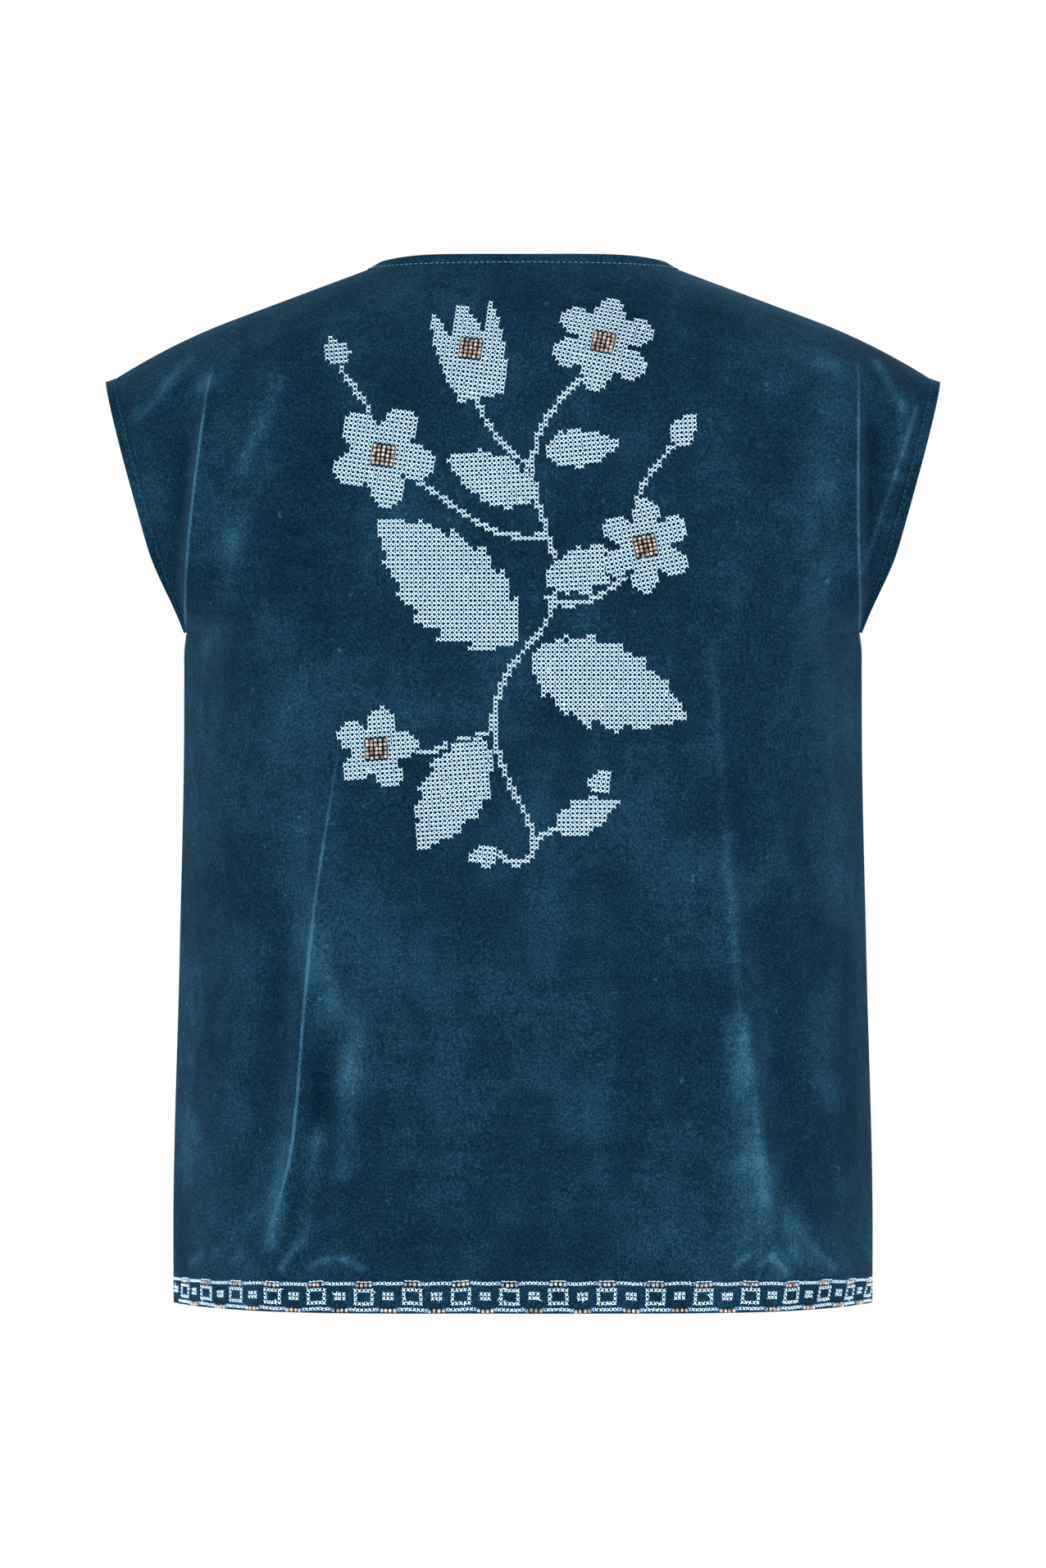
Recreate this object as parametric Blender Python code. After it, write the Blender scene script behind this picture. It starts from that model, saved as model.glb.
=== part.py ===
"""Velvet waistcoat with cap shoulders, hollow as it hangs on its wearer's shoulders.

Metres, +Z up. The back faces -Y and the two fronts face +Y, edge to edge; +X is the wearer's right.
The origin lies midway between the neck points, at the height where the wearer's shoulders hold it.
Every piece is a wall of cloth: a grid of outer points, and the same grid moved in by the cloth's
thickness. Side and shoulder seams lie in the plane y = 0.
"""

from collections import namedtuple

import bmesh
import bpy
import numpy as np

for leftover in list(bpy.data.objects):
    bpy.data.objects.remove(leftover, do_unlink=True)

garment = bpy.data.collections.new("waistcoat")
bpy.context.scene.collection.children.link(garment)

# Cloth and seams
VELVET = 0.0016
BAND_CLOTH = 0.0022
SEAM_GAP = 0.0003
SEAM_Y = SEAM_GAP / 2

# Lengths and heights
HEM_Z = -0.604
HEM_BAND_HEIGHT = 0.0182
HEM_BAND_STANDS_OUT = 0.0004
PANEL_FOOT_Z = HEM_Z + HEM_BAND_HEIGHT + SEAM_GAP
UNDERARM_Z = -0.2125
UNDERARM_HALF_WIDTH = 0.1932

# Neck and shoulders
NECK_HALF_WIDTH = 0.0915
NECK_POINT_Z = -0.001
NECK_HOLLOW_RISE = 0.022
SHOULDER_SLOPE = 0.375
SHOULDER_TIP_X = 0.2377
CAP_START_X = 0.170
CAP_DROP = 0.0084
ROLL_AT_NECK = 0.110
ROLL_AT_TIP = 0.060

# Cross-section of the body, and the armhole
SIDE_FULLNESS = 4.5
SIDE_ROUNDING = 1.15
ARMHOLE_HALF_DEPTH = 0.050
ARMHOLE_ROUND_SHARE = 0.45
ARMHOLE_BLUNTNESS = 0.7
EDGE_SHARE = 0.18
ARMHOLE_BEND = (0.2256, -0.1130)

# Bands
NECK_BAND_WIDTH = 0.0062
NECK_BAND_WIDTH_AT_SHOULDER = 0.0082
NECK_BAND_LEAN = (0.35, 0.94)
NECK_BAND_LEAN_AT_SHOULDER = (-0.86, 0.51)
ARMHOLE_BAND_WIDTH = 0.0064
ARMHOLE_BAND_AIM_AT_UNDERARM = (0.90, -0.43)
ARMHOLE_BAND_AIM_AT_TIP = (0.82, -0.57)
FRONT_BAND_WIDTH = 0.0060
FRONT_GAP = 0.003
FRONT_EDGE_X = FRONT_GAP / 2 + FRONT_BAND_WIDTH + SEAM_GAP
V_LOWER_BEND = (FRONT_EDGE_X, -0.160)
V_UPPER_BEND = (0.066, -0.062)

# Grid sizes: cells across and up each piece
NECK_COLUMNS = 9
SHOULDER_COLUMNS = 15
FRONT_COLUMNS = 20
BODY_ROWS = 13
YOKE_ROWS = 16
NECK_SHARE = 0.40
COLUMN_CROWDING = 0.5
ROW_CROWDING = 1.5
BAND_CELLS = 2

# A row for each height: half-width of the body, and how far back and front stand from the seam plane
Section = namedtuple("Section", "z half_width back_depth front_depth")
SECTIONS = (
    Section(-0.604, 0.2043, 0.1010, 0.1010),
    Section(-0.500, 0.2030, 0.1003, 0.1022),
    Section(-0.400, 0.2007, 0.1000, 0.1050),
    Section(-0.310, 0.1990, 0.1007, 0.1105),
    Section(-0.250, 0.1990, 0.1015, 0.1140),
    Section(-0.195, 0.2110, 0.1018, 0.1150),
    Section(-0.140, 0.2370, 0.1015, 0.1130),
    Section(-0.070, 0.2600, 0.1006, 0.1080),
    Section(0.020, 0.2800, 0.1000, 0.1040),
)

# The side seam, with the tuck just under the arm
SeamRow = namedtuple("SeamRow", "z half_width")
SIDE_SEAM = (
    SeamRow(-0.6040, 0.2042),
    SeamRow(-0.5610, 0.2044),
    SeamRow(-0.4000, 0.2007),
    SeamRow(-0.2700, 0.1981),
    SeamRow(-0.2350, 0.1976),
    SeamRow(-0.2215, 0.1972),
    SeamRow(UNDERARM_Z, UNDERARM_HALF_WIDTH),
)

# The largest folds: side is -1 for the wearer's left and +1 for the right, inner and outer are the
# widths of the crest's two slopes, dip is the hollow beyond the outer slope as a share of the rise,
# and recover is that hollow's width. Each row gives the crest's height, its place and its rise.
Fold = namedtuple("Fold", "side inner outer dip recover rows")
FoldRow = namedtuple("FoldRow", "z x rise")

LEFT_SLEEVE_FOLD = Fold(-1, 0.019, 0.010, 0.35, 0.025, (
    FoldRow(-0.2350, 0.1990, 0.000),
    FoldRow(-0.2165, 0.1973, 0.004),
    FoldRow(-0.1700, 0.1935, 0.007),
    FoldRow(-0.1365, 0.1897, 0.008),
    FoldRow(-0.1000, 0.1850, 0.007),
    FoldRow(-0.0730, 0.1815, 0.004),
    FoldRow(-0.0550, 0.1780, 0.000),
))
RIGHT_SLEEVE_FOLD = Fold(1, 0.019, 0.010, 0.35, 0.025, (
    FoldRow(-0.2350, 0.1990, 0.000),
    FoldRow(-0.2165, 0.1970, 0.004),
    FoldRow(-0.1700, 0.1935, 0.007),
    FoldRow(-0.1190, 0.1926, 0.008),
    FoldRow(-0.0900, 0.1930, 0.006),
    FoldRow(-0.0656, 0.1935, 0.003),
    FoldRow(-0.0500, 0.1940, 0.000),
))
LEFT_FLUTE = Fold(-1, 0.030, 0.014, 0.30, 0.025, (
    FoldRow(-0.604, 0.1570, 0.002),
    FoldRow(-0.576, 0.1520, 0.003),
    FoldRow(-0.537, 0.1420, 0.006),
    FoldRow(-0.487, 0.1336, 0.008),
    FoldRow(-0.437, 0.1290, 0.008),
    FoldRow(-0.372, 0.1220, 0.006),
    FoldRow(-0.309, 0.1100, 0.003),
    FoldRow(-0.255, 0.1020, 0.000),
))
LEFT_INNER_RIDGE = Fold(-1, 0.014, 0.012, 0.80, 0.012, (
    FoldRow(-0.560, 0.1050, 0.000),
    FoldRow(-0.516, 0.1035, 0.005),
    FoldRow(-0.474, 0.1006, 0.005),
    FoldRow(-0.430, 0.0990, 0.000),
))
RIGHT_FLUTE = Fold(1, 0.030, 0.014, 0.30, 0.025, (
    FoldRow(-0.604, 0.1480, 0.002),
    FoldRow(-0.545, 0.1430, 0.004),
    FoldRow(-0.523, 0.1390, 0.006),
    FoldRow(-0.480, 0.1346, 0.008),
    FoldRow(-0.419, 0.1255, 0.008),
    FoldRow(-0.368, 0.1180, 0.006),
    FoldRow(-0.287, 0.1120, 0.004),
    FoldRow(-0.207, 0.1035, 0.000),
))
LEFT_YOKE_RIDGE = Fold(-1, 0.020, 0.016, 0.0, 0.010, (
    FoldRow(-0.2000, 0.1750, 0.000),
    FoldRow(-0.1500, 0.1735, 0.003),
    FoldRow(-0.1190, 0.1710, 0.004),
    FoldRow(-0.0700, 0.1500, 0.003),
    FoldRow(-0.0345, 0.1280, 0.000),
))
LEFT_CAP_FOLD = Fold(-1, 0.010, 0.009, 0.3, 0.010, (
    FoldRow(-0.110, 0.2300, 0.000),
    FoldRow(-0.083, 0.2220, 0.003),
    FoldRow(-0.051, 0.2065, 0.002),
    FoldRow(-0.040, 0.2000, 0.000),
))
RIGHT_CAP_FOLD = Fold(1, 0.010, 0.009, 0.3, 0.010, (
    FoldRow(-0.110, 0.2300, 0.000),
    FoldRow(-0.083, 0.2227, 0.004),
    FoldRow(-0.048, 0.2070, 0.002),
    FoldRow(-0.036, 0.2000, 0.000),
))
LEFT_FRONT_SLEEVE_FOLD = Fold(-1, 0.020, 0.015, 0.30, 0.025, (
    FoldRow(-0.2300, 0.1980, 0.000),
    FoldRow(-0.1900, 0.1930, 0.005),
    FoldRow(-0.1400, 0.1860, 0.006),
    FoldRow(-0.0950, 0.1800, 0.004),
    FoldRow(-0.0600, 0.1760, 0.000),
))
RIGHT_FRONT_SLEEVE_FOLD = Fold(1, 0.020, 0.015, 0.30, 0.025, (
    FoldRow(-0.2350, 0.1980, 0.000),
    FoldRow(-0.2000, 0.1940, 0.004),
    FoldRow(-0.1500, 0.1890, 0.006),
    FoldRow(-0.1050, 0.1850, 0.005),
    FoldRow(-0.0650, 0.1820, 0.000),
))
LEFT_FRONT_FLUTE = Fold(-1, 0.032, 0.016, 0.30, 0.025, (
    FoldRow(-0.604, 0.1380, 0.002),
    FoldRow(-0.520, 0.1300, 0.007),
    FoldRow(-0.420, 0.1190, 0.007),
    FoldRow(-0.330, 0.1100, 0.003),
    FoldRow(-0.260, 0.1050, 0.000),
))
RIGHT_FRONT_FLUTE = Fold(1, 0.030, 0.015, 0.30, 0.025, (
    FoldRow(-0.604, 0.1480, 0.002),
    FoldRow(-0.540, 0.1420, 0.006),
    FoldRow(-0.450, 0.1300, 0.007),
    FoldRow(-0.360, 0.1190, 0.005),
    FoldRow(-0.250, 0.1080, 0.000),
))
BACK_FOLDS = (LEFT_SLEEVE_FOLD, RIGHT_SLEEVE_FOLD, LEFT_FLUTE, LEFT_INNER_RIDGE, RIGHT_FLUTE,
              LEFT_YOKE_RIDGE, LEFT_CAP_FOLD, RIGHT_CAP_FOLD)
FRONT_FOLDS = (LEFT_FRONT_SLEEVE_FOLD, RIGHT_FRONT_SLEEVE_FOLD, LEFT_FRONT_FLUTE, RIGHT_FRONT_FLUTE)
FOLD_FADE = 0.007

# Colours are linear; the velvet's nap makes the bands and fronts read a little differently
BACK_COLOUR = (0.0085, 0.038, 0.071)
FRONT_COLOUR = (0.0090, 0.037, 0.068)
HEM_BAND_COLOUR = (0.0105, 0.041, 0.076)
EDGE_BAND_COLOUR = (0.0120, 0.047, 0.084)
VELVET_ROUGHNESS = 0.85


def smooth_through(at, places, values):
    """Cubic curve through a table's rows, whose slope at each row comes from its neighbours."""
    places = np.array(places)
    values = np.array(values)
    slopes = np.gradient(values, places)
    row = np.clip(np.searchsorted(places, at) - 1, 0, len(places) - 2)
    span = places[row + 1] - places[row]
    t = np.clip((at - places[row]) / span, 0.0, 1.0)
    from_low = (2 * t**3 - 3 * t**2 + 1) * values[row] + (t**3 - 2 * t**2 + t) * span * slopes[row]
    to_high = (3 * t**2 - 2 * t**3) * values[row + 1] + (t**3 - t**2) * span * slopes[row + 1]
    return from_low + to_high


def smooth_step(t):
    """Ease from 0 to 1 as t goes from 0 to 1."""
    t = np.clip(t, 0.0, 1.0)
    return t * t * (3 - 2 * t)


def bell(t):
    """1 at t = 0, easing down to 0 at t = 1 and t = -1."""
    return 0.5 + 0.5 * np.cos(np.pi * np.clip(np.abs(t), 0.0, 1.0))


def bezier(corners, t):
    """Point (x, z) of the curve that a few corners pull, by repeated blending between them."""
    t = np.asarray(t)[..., None]
    points = [np.array(corner) for corner in corners]
    while len(points) > 1:
        points = [a + (b - a) * t for a, b in zip(points[:-1], points[1:])]
    return points[0][..., 0], points[0][..., 1]


def ridge_z(x):
    """Height of the shoulder seam, and of the crest it would have across the neck."""
    across = np.abs(x)
    shoulder = NECK_POINT_Z - SHOULDER_SLOPE * (across - NECK_HALF_WIDTH)
    cap = np.clip((across - CAP_START_X) / (SHOULDER_TIP_X - CAP_START_X), 0.0, None)
    neck = NECK_POINT_Z + NECK_HOLLOW_RISE * (1 - (across / NECK_HALF_WIDTH) ** 2)
    return np.where(across < NECK_HALF_WIDTH, neck, shoulder - CAP_DROP * cap**2)


def armhole_edge(t):
    """Armhole edge of a panel, from the underarm (t = 0) to the shoulder tip (t = 1)."""
    underarm = (UNDERARM_HALF_WIDTH, UNDERARM_Z)
    tip = (SHOULDER_TIP_X, float(ridge_z(SHOULDER_TIP_X)))
    return bezier((underarm, ARMHOLE_BEND, tip), t)


def half_width(z):
    """Half the width at height z: the side seam below the underarm, the armhole edge above it."""
    heights, widths = np.array(SIDE_SEAM).T
    edge_x, edge_z = armhole_edge(np.linspace(0.0, 1.0, 81))
    return np.where(z <= UNDERARM_Z, smooth_through(z, heights, widths), np.interp(z, edge_z, edge_x))


def armhole_half_depth(z):
    """Half the armhole's opening from front to back: nothing below the underarm, a blunt V there."""
    tip_z = float(ridge_z(SHOULDER_TIP_X))
    t = np.clip((z - UNDERARM_Z) / (tip_z - UNDERARM_Z) / ARMHOLE_ROUND_SHARE, 0.0, 1.0)
    return ARMHOLE_HALF_DEPTH * (1 - (1 - t) ** 2) ** ARMHOLE_BLUNTNESS


def over_shoulder(x, z):
    """Share of the full depth left where the cloth rolls over the shoulder: a quarter circle."""
    roll = np.interp(np.abs(x), (NECK_HALF_WIDTH, SHOULDER_TIP_X), (ROLL_AT_NECK, ROLL_AT_TIP))
    below = np.clip((ridge_z(x) - z) / roll, 0.0, 1.0)
    return np.sqrt(1 - (1 - below) ** 2)


def fold_relief(x, z, folds):
    """Rise of the folds: a crest with two slopes, and a hollow beyond the outer one."""
    total = np.zeros_like(x)
    for fold in folds:
        heights, places, rises = np.array(fold.rows).T
        outward = fold.side * x - smooth_through(z, heights, places)
        rise = np.interp(z, heights, rises)
        rise = np.where((z < heights[0]) | (z > heights[-1]), 0.0, rise)
        outer_slope = bell(outward / fold.outer)
        hollow = fold.dip * (1 - outer_slope) * bell((outward - fold.outer) / fold.recover)
        total += rise * np.where(outward < 0, bell(outward / fold.inner), outer_slope - hollow)
    return total


def oblong(part):
    """Depth of a rounded oblong at a part of its half-width, as a share of its full depth."""
    return np.clip(1 - part**SIDE_FULLNESS, 0.0, 1.0) ** (1 / SIDE_ROUNDING)


def depth(x, z, back):
    """Distance of the cloth from the seam plane: a rounded oblong section, rolled over the shoulder.

    Close to the side the section is drawn to the real edge: the side seam, or the armhole's opening.
    """
    heights, widths, back_depths, front_depths = np.array(SECTIONS).T
    body = smooth_through(z, heights, widths)
    full = smooth_through(z, heights, back_depths if back else front_depths)
    edge = half_width(z)
    near_edge = smooth_step((np.abs(x) / edge - 1) / EDGE_SHARE + 1)
    section = full * oblong(np.abs(x) / body)
    section += (armhole_half_depth(z) - full * oblong(edge / body)) * near_edge
    over = over_shoulder(x, z)
    from_edge = smooth_step((edge - np.abs(x)) / FOLD_FADE)
    folds = fold_relief(x, z, BACK_FOLDS if back else FRONT_FOLDS)
    return SEAM_Y + section * over + folds * from_edge * over**2


def on_body(x, z, back, lift=0.0):
    """Points of the back or front cloth at the places (x, z), moved out by lift."""
    y = depth(x, z, back) + lift * over_shoulder(x, z)
    return np.stack(np.broadcast_arrays(x, -y if back else y, z), axis=-1)


def crowded(t):
    """Column places from 0 to 1, closer together towards the side, where the folds are sharp."""
    return t * (1 + COLUMN_CROWDING) / (1 + COLUMN_CROWDING * t * t)


def across_section(share):
    """Part of the half-width at a share of the way round from the middle of the body to its side."""
    part = np.linspace(0.0, 1.0, 400)
    heights, widths, depths, _ = np.array(SECTIONS).T
    y = depths.mean() * (1 - part**SIDE_FULLNESS) ** (1 / SIDE_ROUNDING)
    steps = np.hypot(np.diff(part) * widths.mean(), np.diff(y))
    arc = np.concatenate(([0.0], np.cumsum(steps)))
    return np.interp(share, arc / arc[-1], part)


def body_heights():
    """Heights of the level rows from the foot of the panels to the underarm, closer together there."""
    from_underarm = np.linspace(1.0, 0.0, BODY_ROWS + 1) ** ROW_CROWDING
    return UNDERARM_Z + (PANEL_FOOT_Z - UNDERARM_Z) * from_underarm


def yoke_places():
    """Row places from the underarm (0) to the shoulder (1), closer together where the armhole is round."""
    return 0.5 - 0.5 * np.cos(np.linspace(0.0, np.pi, YOKE_ROWS + 1))


def neck_edge():
    """Places (x, z) of the level back neck edge between the neck points, evenly round its curve."""
    x = NECK_HALF_WIDTH * np.sin(np.linspace(-1.0, 1.0, 2 * NECK_COLUMNS + 1) * np.pi / 2)
    return x, np.full_like(x, NECK_POINT_Z)


def back_plan():
    """Places (x, z) of the back's grid: level rows to the underarm, then rows bent to the shoulder."""
    neck_share = np.linspace(-NECK_SHARE, NECK_SHARE, 2 * NECK_COLUMNS + 1)
    along = crowded(np.linspace(0.0, 1.0, SHOULDER_COLUMNS + 1)[1:])
    shoulder_share = NECK_SHARE + (1 - NECK_SHARE) * along
    share = np.concatenate((-shoulder_share[::-1], neck_share, shoulder_share))
    shoulder_x = NECK_HALF_WIDTH + (SHOULDER_TIP_X - NECK_HALF_WIDTH) * along
    neck_x, neck_z = neck_edge()
    top_x = np.concatenate((-shoulder_x[::-1], neck_x, shoulder_x))
    top_z = np.concatenate((ridge_z(shoulder_x)[::-1], neck_z, ridge_z(shoulder_x)))
    side = np.sign(share)
    body_z = body_heights()[:, None]
    body_x = half_width(body_z) * side * across_section(np.abs(share))
    rise = yoke_places()[1:, None]
    edge_x, edge_z = armhole_edge(rise)
    pull = np.abs(share) ** 3
    yoke_x = (1 - rise) * body_x[-1] + rise * top_x
    yoke_z = (1 - rise) * UNDERARM_Z + rise * top_z
    yoke_x = yoke_x + pull * side * (edge_x - (1 - rise) * UNDERARM_HALF_WIDTH - rise * SHOULDER_TIP_X)
    yoke_z = yoke_z + pull * (edge_z - (1 - rise) * UNDERARM_Z - rise * top_z[-1])
    body_z = np.broadcast_to(body_z, body_x.shape)
    return np.concatenate((body_x, yoke_x)), np.concatenate((body_z, yoke_z))


def v_edge(t):
    """Edge of the V neck, from the top of the straight front edge (0) to the neck point (1)."""
    foot = (FRONT_EDGE_X, UNDERARM_Z)
    neck_point = (NECK_HALF_WIDTH, NECK_POINT_Z)
    return bezier((foot, V_LOWER_BEND, V_UPPER_BEND, neck_point), t)


def front_plan(side):
    """Places (x, z) of a front's grid: level rows to the underarm, then rows between V and armhole."""
    share = crowded(np.linspace(0.0, 1.0, FRONT_COLUMNS + 1))
    part = across_section(share)
    body_z = body_heights()[:, None]
    body_x = FRONT_EDGE_X + (half_width(body_z) - FRONT_EDGE_X) * part
    rise = yoke_places()[1:, None]
    top_x = NECK_HALF_WIDTH + (SHOULDER_TIP_X - NECK_HALF_WIDTH) * share
    top_z = ridge_z(top_x)
    v_x, v_z = v_edge(rise)
    edge_x, edge_z = armhole_edge(rise)
    straight_x = (1 - rise) * body_x[-1] + rise * top_x
    straight_z = (1 - rise) * UNDERARM_Z + rise * top_z
    yoke_x = straight_x + (1 - share) * (v_x - straight_x[:, :1]) + share * (edge_x - straight_x[:, -1:])
    yoke_z = straight_z + (1 - share) * (v_z - straight_z[:, :1]) + share * (edge_z - straight_z[:, -1:])
    body_z = np.broadcast_to(body_z, body_x.shape)
    return side * np.concatenate((body_x, yoke_x)), np.concatenate((body_z, yoke_z))


def wall_normals(outer, centre, level_rows, ring):
    """Outward unit normals of a grid, level where a row asks, and in the seam plane along a seam."""
    if ring:
        wrapped = np.concatenate((outer[:, -1:], outer, outer[:, :1]), axis=1)
        across = (wrapped[:, 2:] - wrapped[:, :-2])
    else:
        across = np.gradient(outer, axis=1)
    up = np.gradient(outer, axis=0)
    normals = np.cross(across, up)
    if np.sum(normals * (outer - np.array(centre))) < 0:
        normals = -normals
    on_seam = np.abs(outer[..., 1]) < SEAM_Y * 1.01
    normals[..., 1] = np.where(on_seam, 0.0, normals[..., 1])
    for row in level_rows:
        normals[row, :, 2] = 0.0
    return normals / np.linalg.norm(normals, axis=-1, keepdims=True)


def grid_faces(indices, ring):
    """Quads of a grid of point numbers, closed round on itself for a ring."""
    if ring:
        indices = np.concatenate((indices, indices[:, :1]), axis=1)
    corners = (indices[:-1, :-1], indices[:-1, 1:], indices[1:, 1:], indices[1:, :-1])
    return np.stack(corners, axis=-1).reshape(-1, 4)


def border_loops(indices, ring):
    """Point numbers along the open edges of a grid: one loop, or two for a ring."""
    if ring:
        return [np.append(indices[0], indices[0, 0]), np.append(indices[-1], indices[-1, 0])]
    loop = np.concatenate((indices[0], indices[1:, -1], indices[-1, -2::-1], indices[-2::-1, 0]))
    return [loop]


def cloth_material(name, colour):
    """Principled material of one piece."""
    material = bpy.data.materials.new(name)
    material.use_nodes = True
    shader = material.node_tree.nodes["Principled BSDF"]
    shader.inputs["Base Color"].default_value = (*colour, 1.0)
    shader.inputs["Roughness"].default_value = VELVET_ROUGHNESS
    shader.inputs["Metallic"].default_value = 0.0
    return material


def cloth_wall(name, outer, thickness, colour, centre=(0.0, 0.0, -0.3), level_rows=(), ring=False):
    """Closed wall of cloth: the outer grid, the same grid moved in, and rims along its edges."""
    inner = outer - thickness * wall_normals(outer, centre, level_rows, ring)
    count = outer.shape[0] * outer.shape[1]
    outside = np.arange(count).reshape(outer.shape[:2])
    inside = outside + count
    faces = [grid_faces(outside, ring), grid_faces(inside, ring)[:, ::-1]]
    for loop in border_loops(outside, ring):
        faces.append(np.stack((loop[1:], loop[:-1], loop[:-1] + count, loop[1:] + count), axis=-1))
    mesh = bpy.data.meshes.new(name)
    points = np.concatenate((outer.reshape(-1, 3), inner.reshape(-1, 3)))
    mesh.from_pydata(points.tolist(), [], np.concatenate(faces).tolist())
    shaped = bmesh.new()
    shaped.from_mesh(mesh)
    bmesh.ops.recalc_face_normals(shaped, faces=shaped.faces)
    shaped.to_mesh(mesh)
    shaped.free()
    mesh.shade_smooth()
    mesh.set_sharp_from_angle(angle=np.radians(50))
    mesh.materials.append(cloth_material(name + "_velvet", colour))
    piece = bpy.data.objects.new(name, mesh)
    garment.objects.link(piece)
    return piece


def make_back_panel():
    """Back, cut in one with its cap shoulders, from side seam to side seam."""
    x, z = back_plan()
    cloth_wall("back_panel", on_body(x, z, back=True), VELVET, BACK_COLOUR, level_rows=(0,))


def make_front_panel(name, side):
    """One front, from its straight edge and V neck to the side seam."""
    x, z = front_plan(side)
    cloth_wall(name, on_body(x, z, back=False), VELVET, FRONT_COLOUR, level_rows=(0,))


def make_hem_band(name, plan_x, back):
    """Embroidered band below a panel, with the panel's own column places."""
    z = np.array((HEM_Z, HEM_Z + HEM_BAND_HEIGHT))[:, None]
    x = plan_x[0] / half_width(PANEL_FOOT_Z) * half_width(z)
    outer = on_body(x, np.broadcast_to(z, x.shape), back, lift=HEM_BAND_STANDS_OUT)
    outer[:, :, 1] = np.where(np.abs(plan_x[0]) >= half_width(PANEL_FOOT_Z) - 1e-6,
                              np.sign(outer[:, :, 1]) * SEAM_Y, outer[:, :, 1])
    cloth_wall(name, outer, BAND_CLOTH, HEM_BAND_COLOUR, level_rows=(0, 1))


def make_neck_band():
    """Standing band along the back neck, leaning in at the middle and along the shoulder at its ends."""
    x, z = neck_edge()
    edge = on_body(x, z, back=True)
    to_shoulder = (x / NECK_HALF_WIDTH) ** 2
    aim_x = np.sign(x) * NECK_BAND_LEAN_AT_SHOULDER[0] * to_shoulder
    aim_y = NECK_BAND_LEAN[0] * (1 - to_shoulder)
    aim_z = NECK_BAND_LEAN[1] + (NECK_BAND_LEAN_AT_SHOULDER[1] - NECK_BAND_LEAN[1]) * to_shoulder
    aim = np.stack((aim_x, aim_y, aim_z), axis=-1)
    aim /= np.linalg.norm(aim, axis=-1, keepdims=True)
    width = NECK_BAND_WIDTH + (NECK_BAND_WIDTH_AT_SHOULDER - NECK_BAND_WIDTH) * to_shoulder
    reach = SEAM_GAP + np.linspace(0.0, 1.0, BAND_CELLS + 1)[:, None] * width
    outer = edge + reach[..., None] * aim
    cloth_wall("neck_band_back", outer, BAND_CLOTH, EDGE_BAND_COLOUR, centre=(0.0, 0.0, -0.1))


def make_front_band(name, side):
    """Band along the straight front edge and the V neck, up to the shoulder seam."""
    straight_z = np.append(HEM_Z, body_heights()[:-1])
    v_x, v_z = v_edge(yoke_places())
    x = np.concatenate((np.full_like(straight_z, FRONT_EDGE_X), v_x))
    z = np.concatenate((straight_z, v_z))
    along = np.stack((np.gradient(x), np.gradient(z)), axis=-1)
    along /= np.linalg.norm(along, axis=-1, keepdims=True)
    inward = np.stack((-along[:, 1], along[:, 0]), axis=-1)
    at_top = smooth_step((z - UNDERARM_Z * 0.3) / (NECK_POINT_Z - UNDERARM_Z * 0.3))
    inward = inward + at_top[:, None] * (np.array(NECK_BAND_LEAN_AT_SHOULDER) - inward)
    inward /= np.linalg.norm(inward, axis=-1, keepdims=True)
    width = FRONT_BAND_WIDTH + (NECK_BAND_WIDTH_AT_SHOULDER - FRONT_BAND_WIDTH) * at_top
    reach = SEAM_GAP + np.linspace(0.0, 1.0, BAND_CELLS + 1)[:, None] * width
    band_x = x + reach * inward[:, 0]
    band_z = z + reach * inward[:, 1]
    outer = on_body(side * band_x, band_z, back=False)
    outer[:, -1, 1] = SEAM_Y
    cloth_wall(name, outer, BAND_CLOTH, EDGE_BAND_COLOUR)


def make_armhole_band(name, side):
    """Short tube of cloth round an armhole: the panels' edges, moved out towards the arm."""
    x, z = armhole_edge(yoke_places())
    y = armhole_half_depth(z) * over_shoulder(x, z)
    ring_x = np.concatenate((x, x[-2:0:-1]))
    ring_z = np.concatenate((z, z[-2:0:-1]))
    ring_y = np.concatenate((-y, y[-2:0:-1]))
    reach = SEAM_GAP + np.linspace(0.0, 1.0, BAND_CELLS + 1)[:, None] * ARMHOLE_BAND_WIDTH
    up = (ring_z - UNDERARM_Z) / (z[-1] - UNDERARM_Z)
    aim_x = np.interp(up, (0.0, 1.0), (ARMHOLE_BAND_AIM_AT_UNDERARM[0], ARMHOLE_BAND_AIM_AT_TIP[0]))
    aim_z = np.interp(up, (0.0, 1.0), (ARMHOLE_BAND_AIM_AT_UNDERARM[1], ARMHOLE_BAND_AIM_AT_TIP[1]))
    band_x = side * (ring_x + reach * aim_x)
    band_z = ring_z + reach * aim_z
    outer = np.stack((band_x, np.broadcast_to(ring_y, band_x.shape), band_z), axis=-1)
    cloth_wall(name, outer, BAND_CLOTH, EDGE_BAND_COLOUR, centre=outer.mean(axis=(0, 1)), ring=True)


make_back_panel()
make_hem_band("hem_band_back", back_plan()[0], back=True)
make_neck_band()
for wearer_side, side_sign in (("left", -1), ("right", 1)):
    make_front_panel("front_panel_" + wearer_side, side_sign)
    make_hem_band("hem_band_front_" + wearer_side, front_plan(side_sign)[0], back=False)
    make_front_band("front_band_" + wearer_side, side_sign)
    make_armhole_band("armhole_band_" + wearer_side, side_sign)
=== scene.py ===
"""Looks of the velvet waistcoat: cloth, cross stitch, beads and topstitching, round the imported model.

Metres, +Z up; the back faces -Y and the two fronts +Y, and +X is the wearer's right. The shapes of the
panels and bands follow the construction's own functions, on a finer grid, with the smaller folds added
and the seams closed. Embroidery lies on those same functions, moved out from the cloth.
"""

from collections import namedtuple

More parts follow.
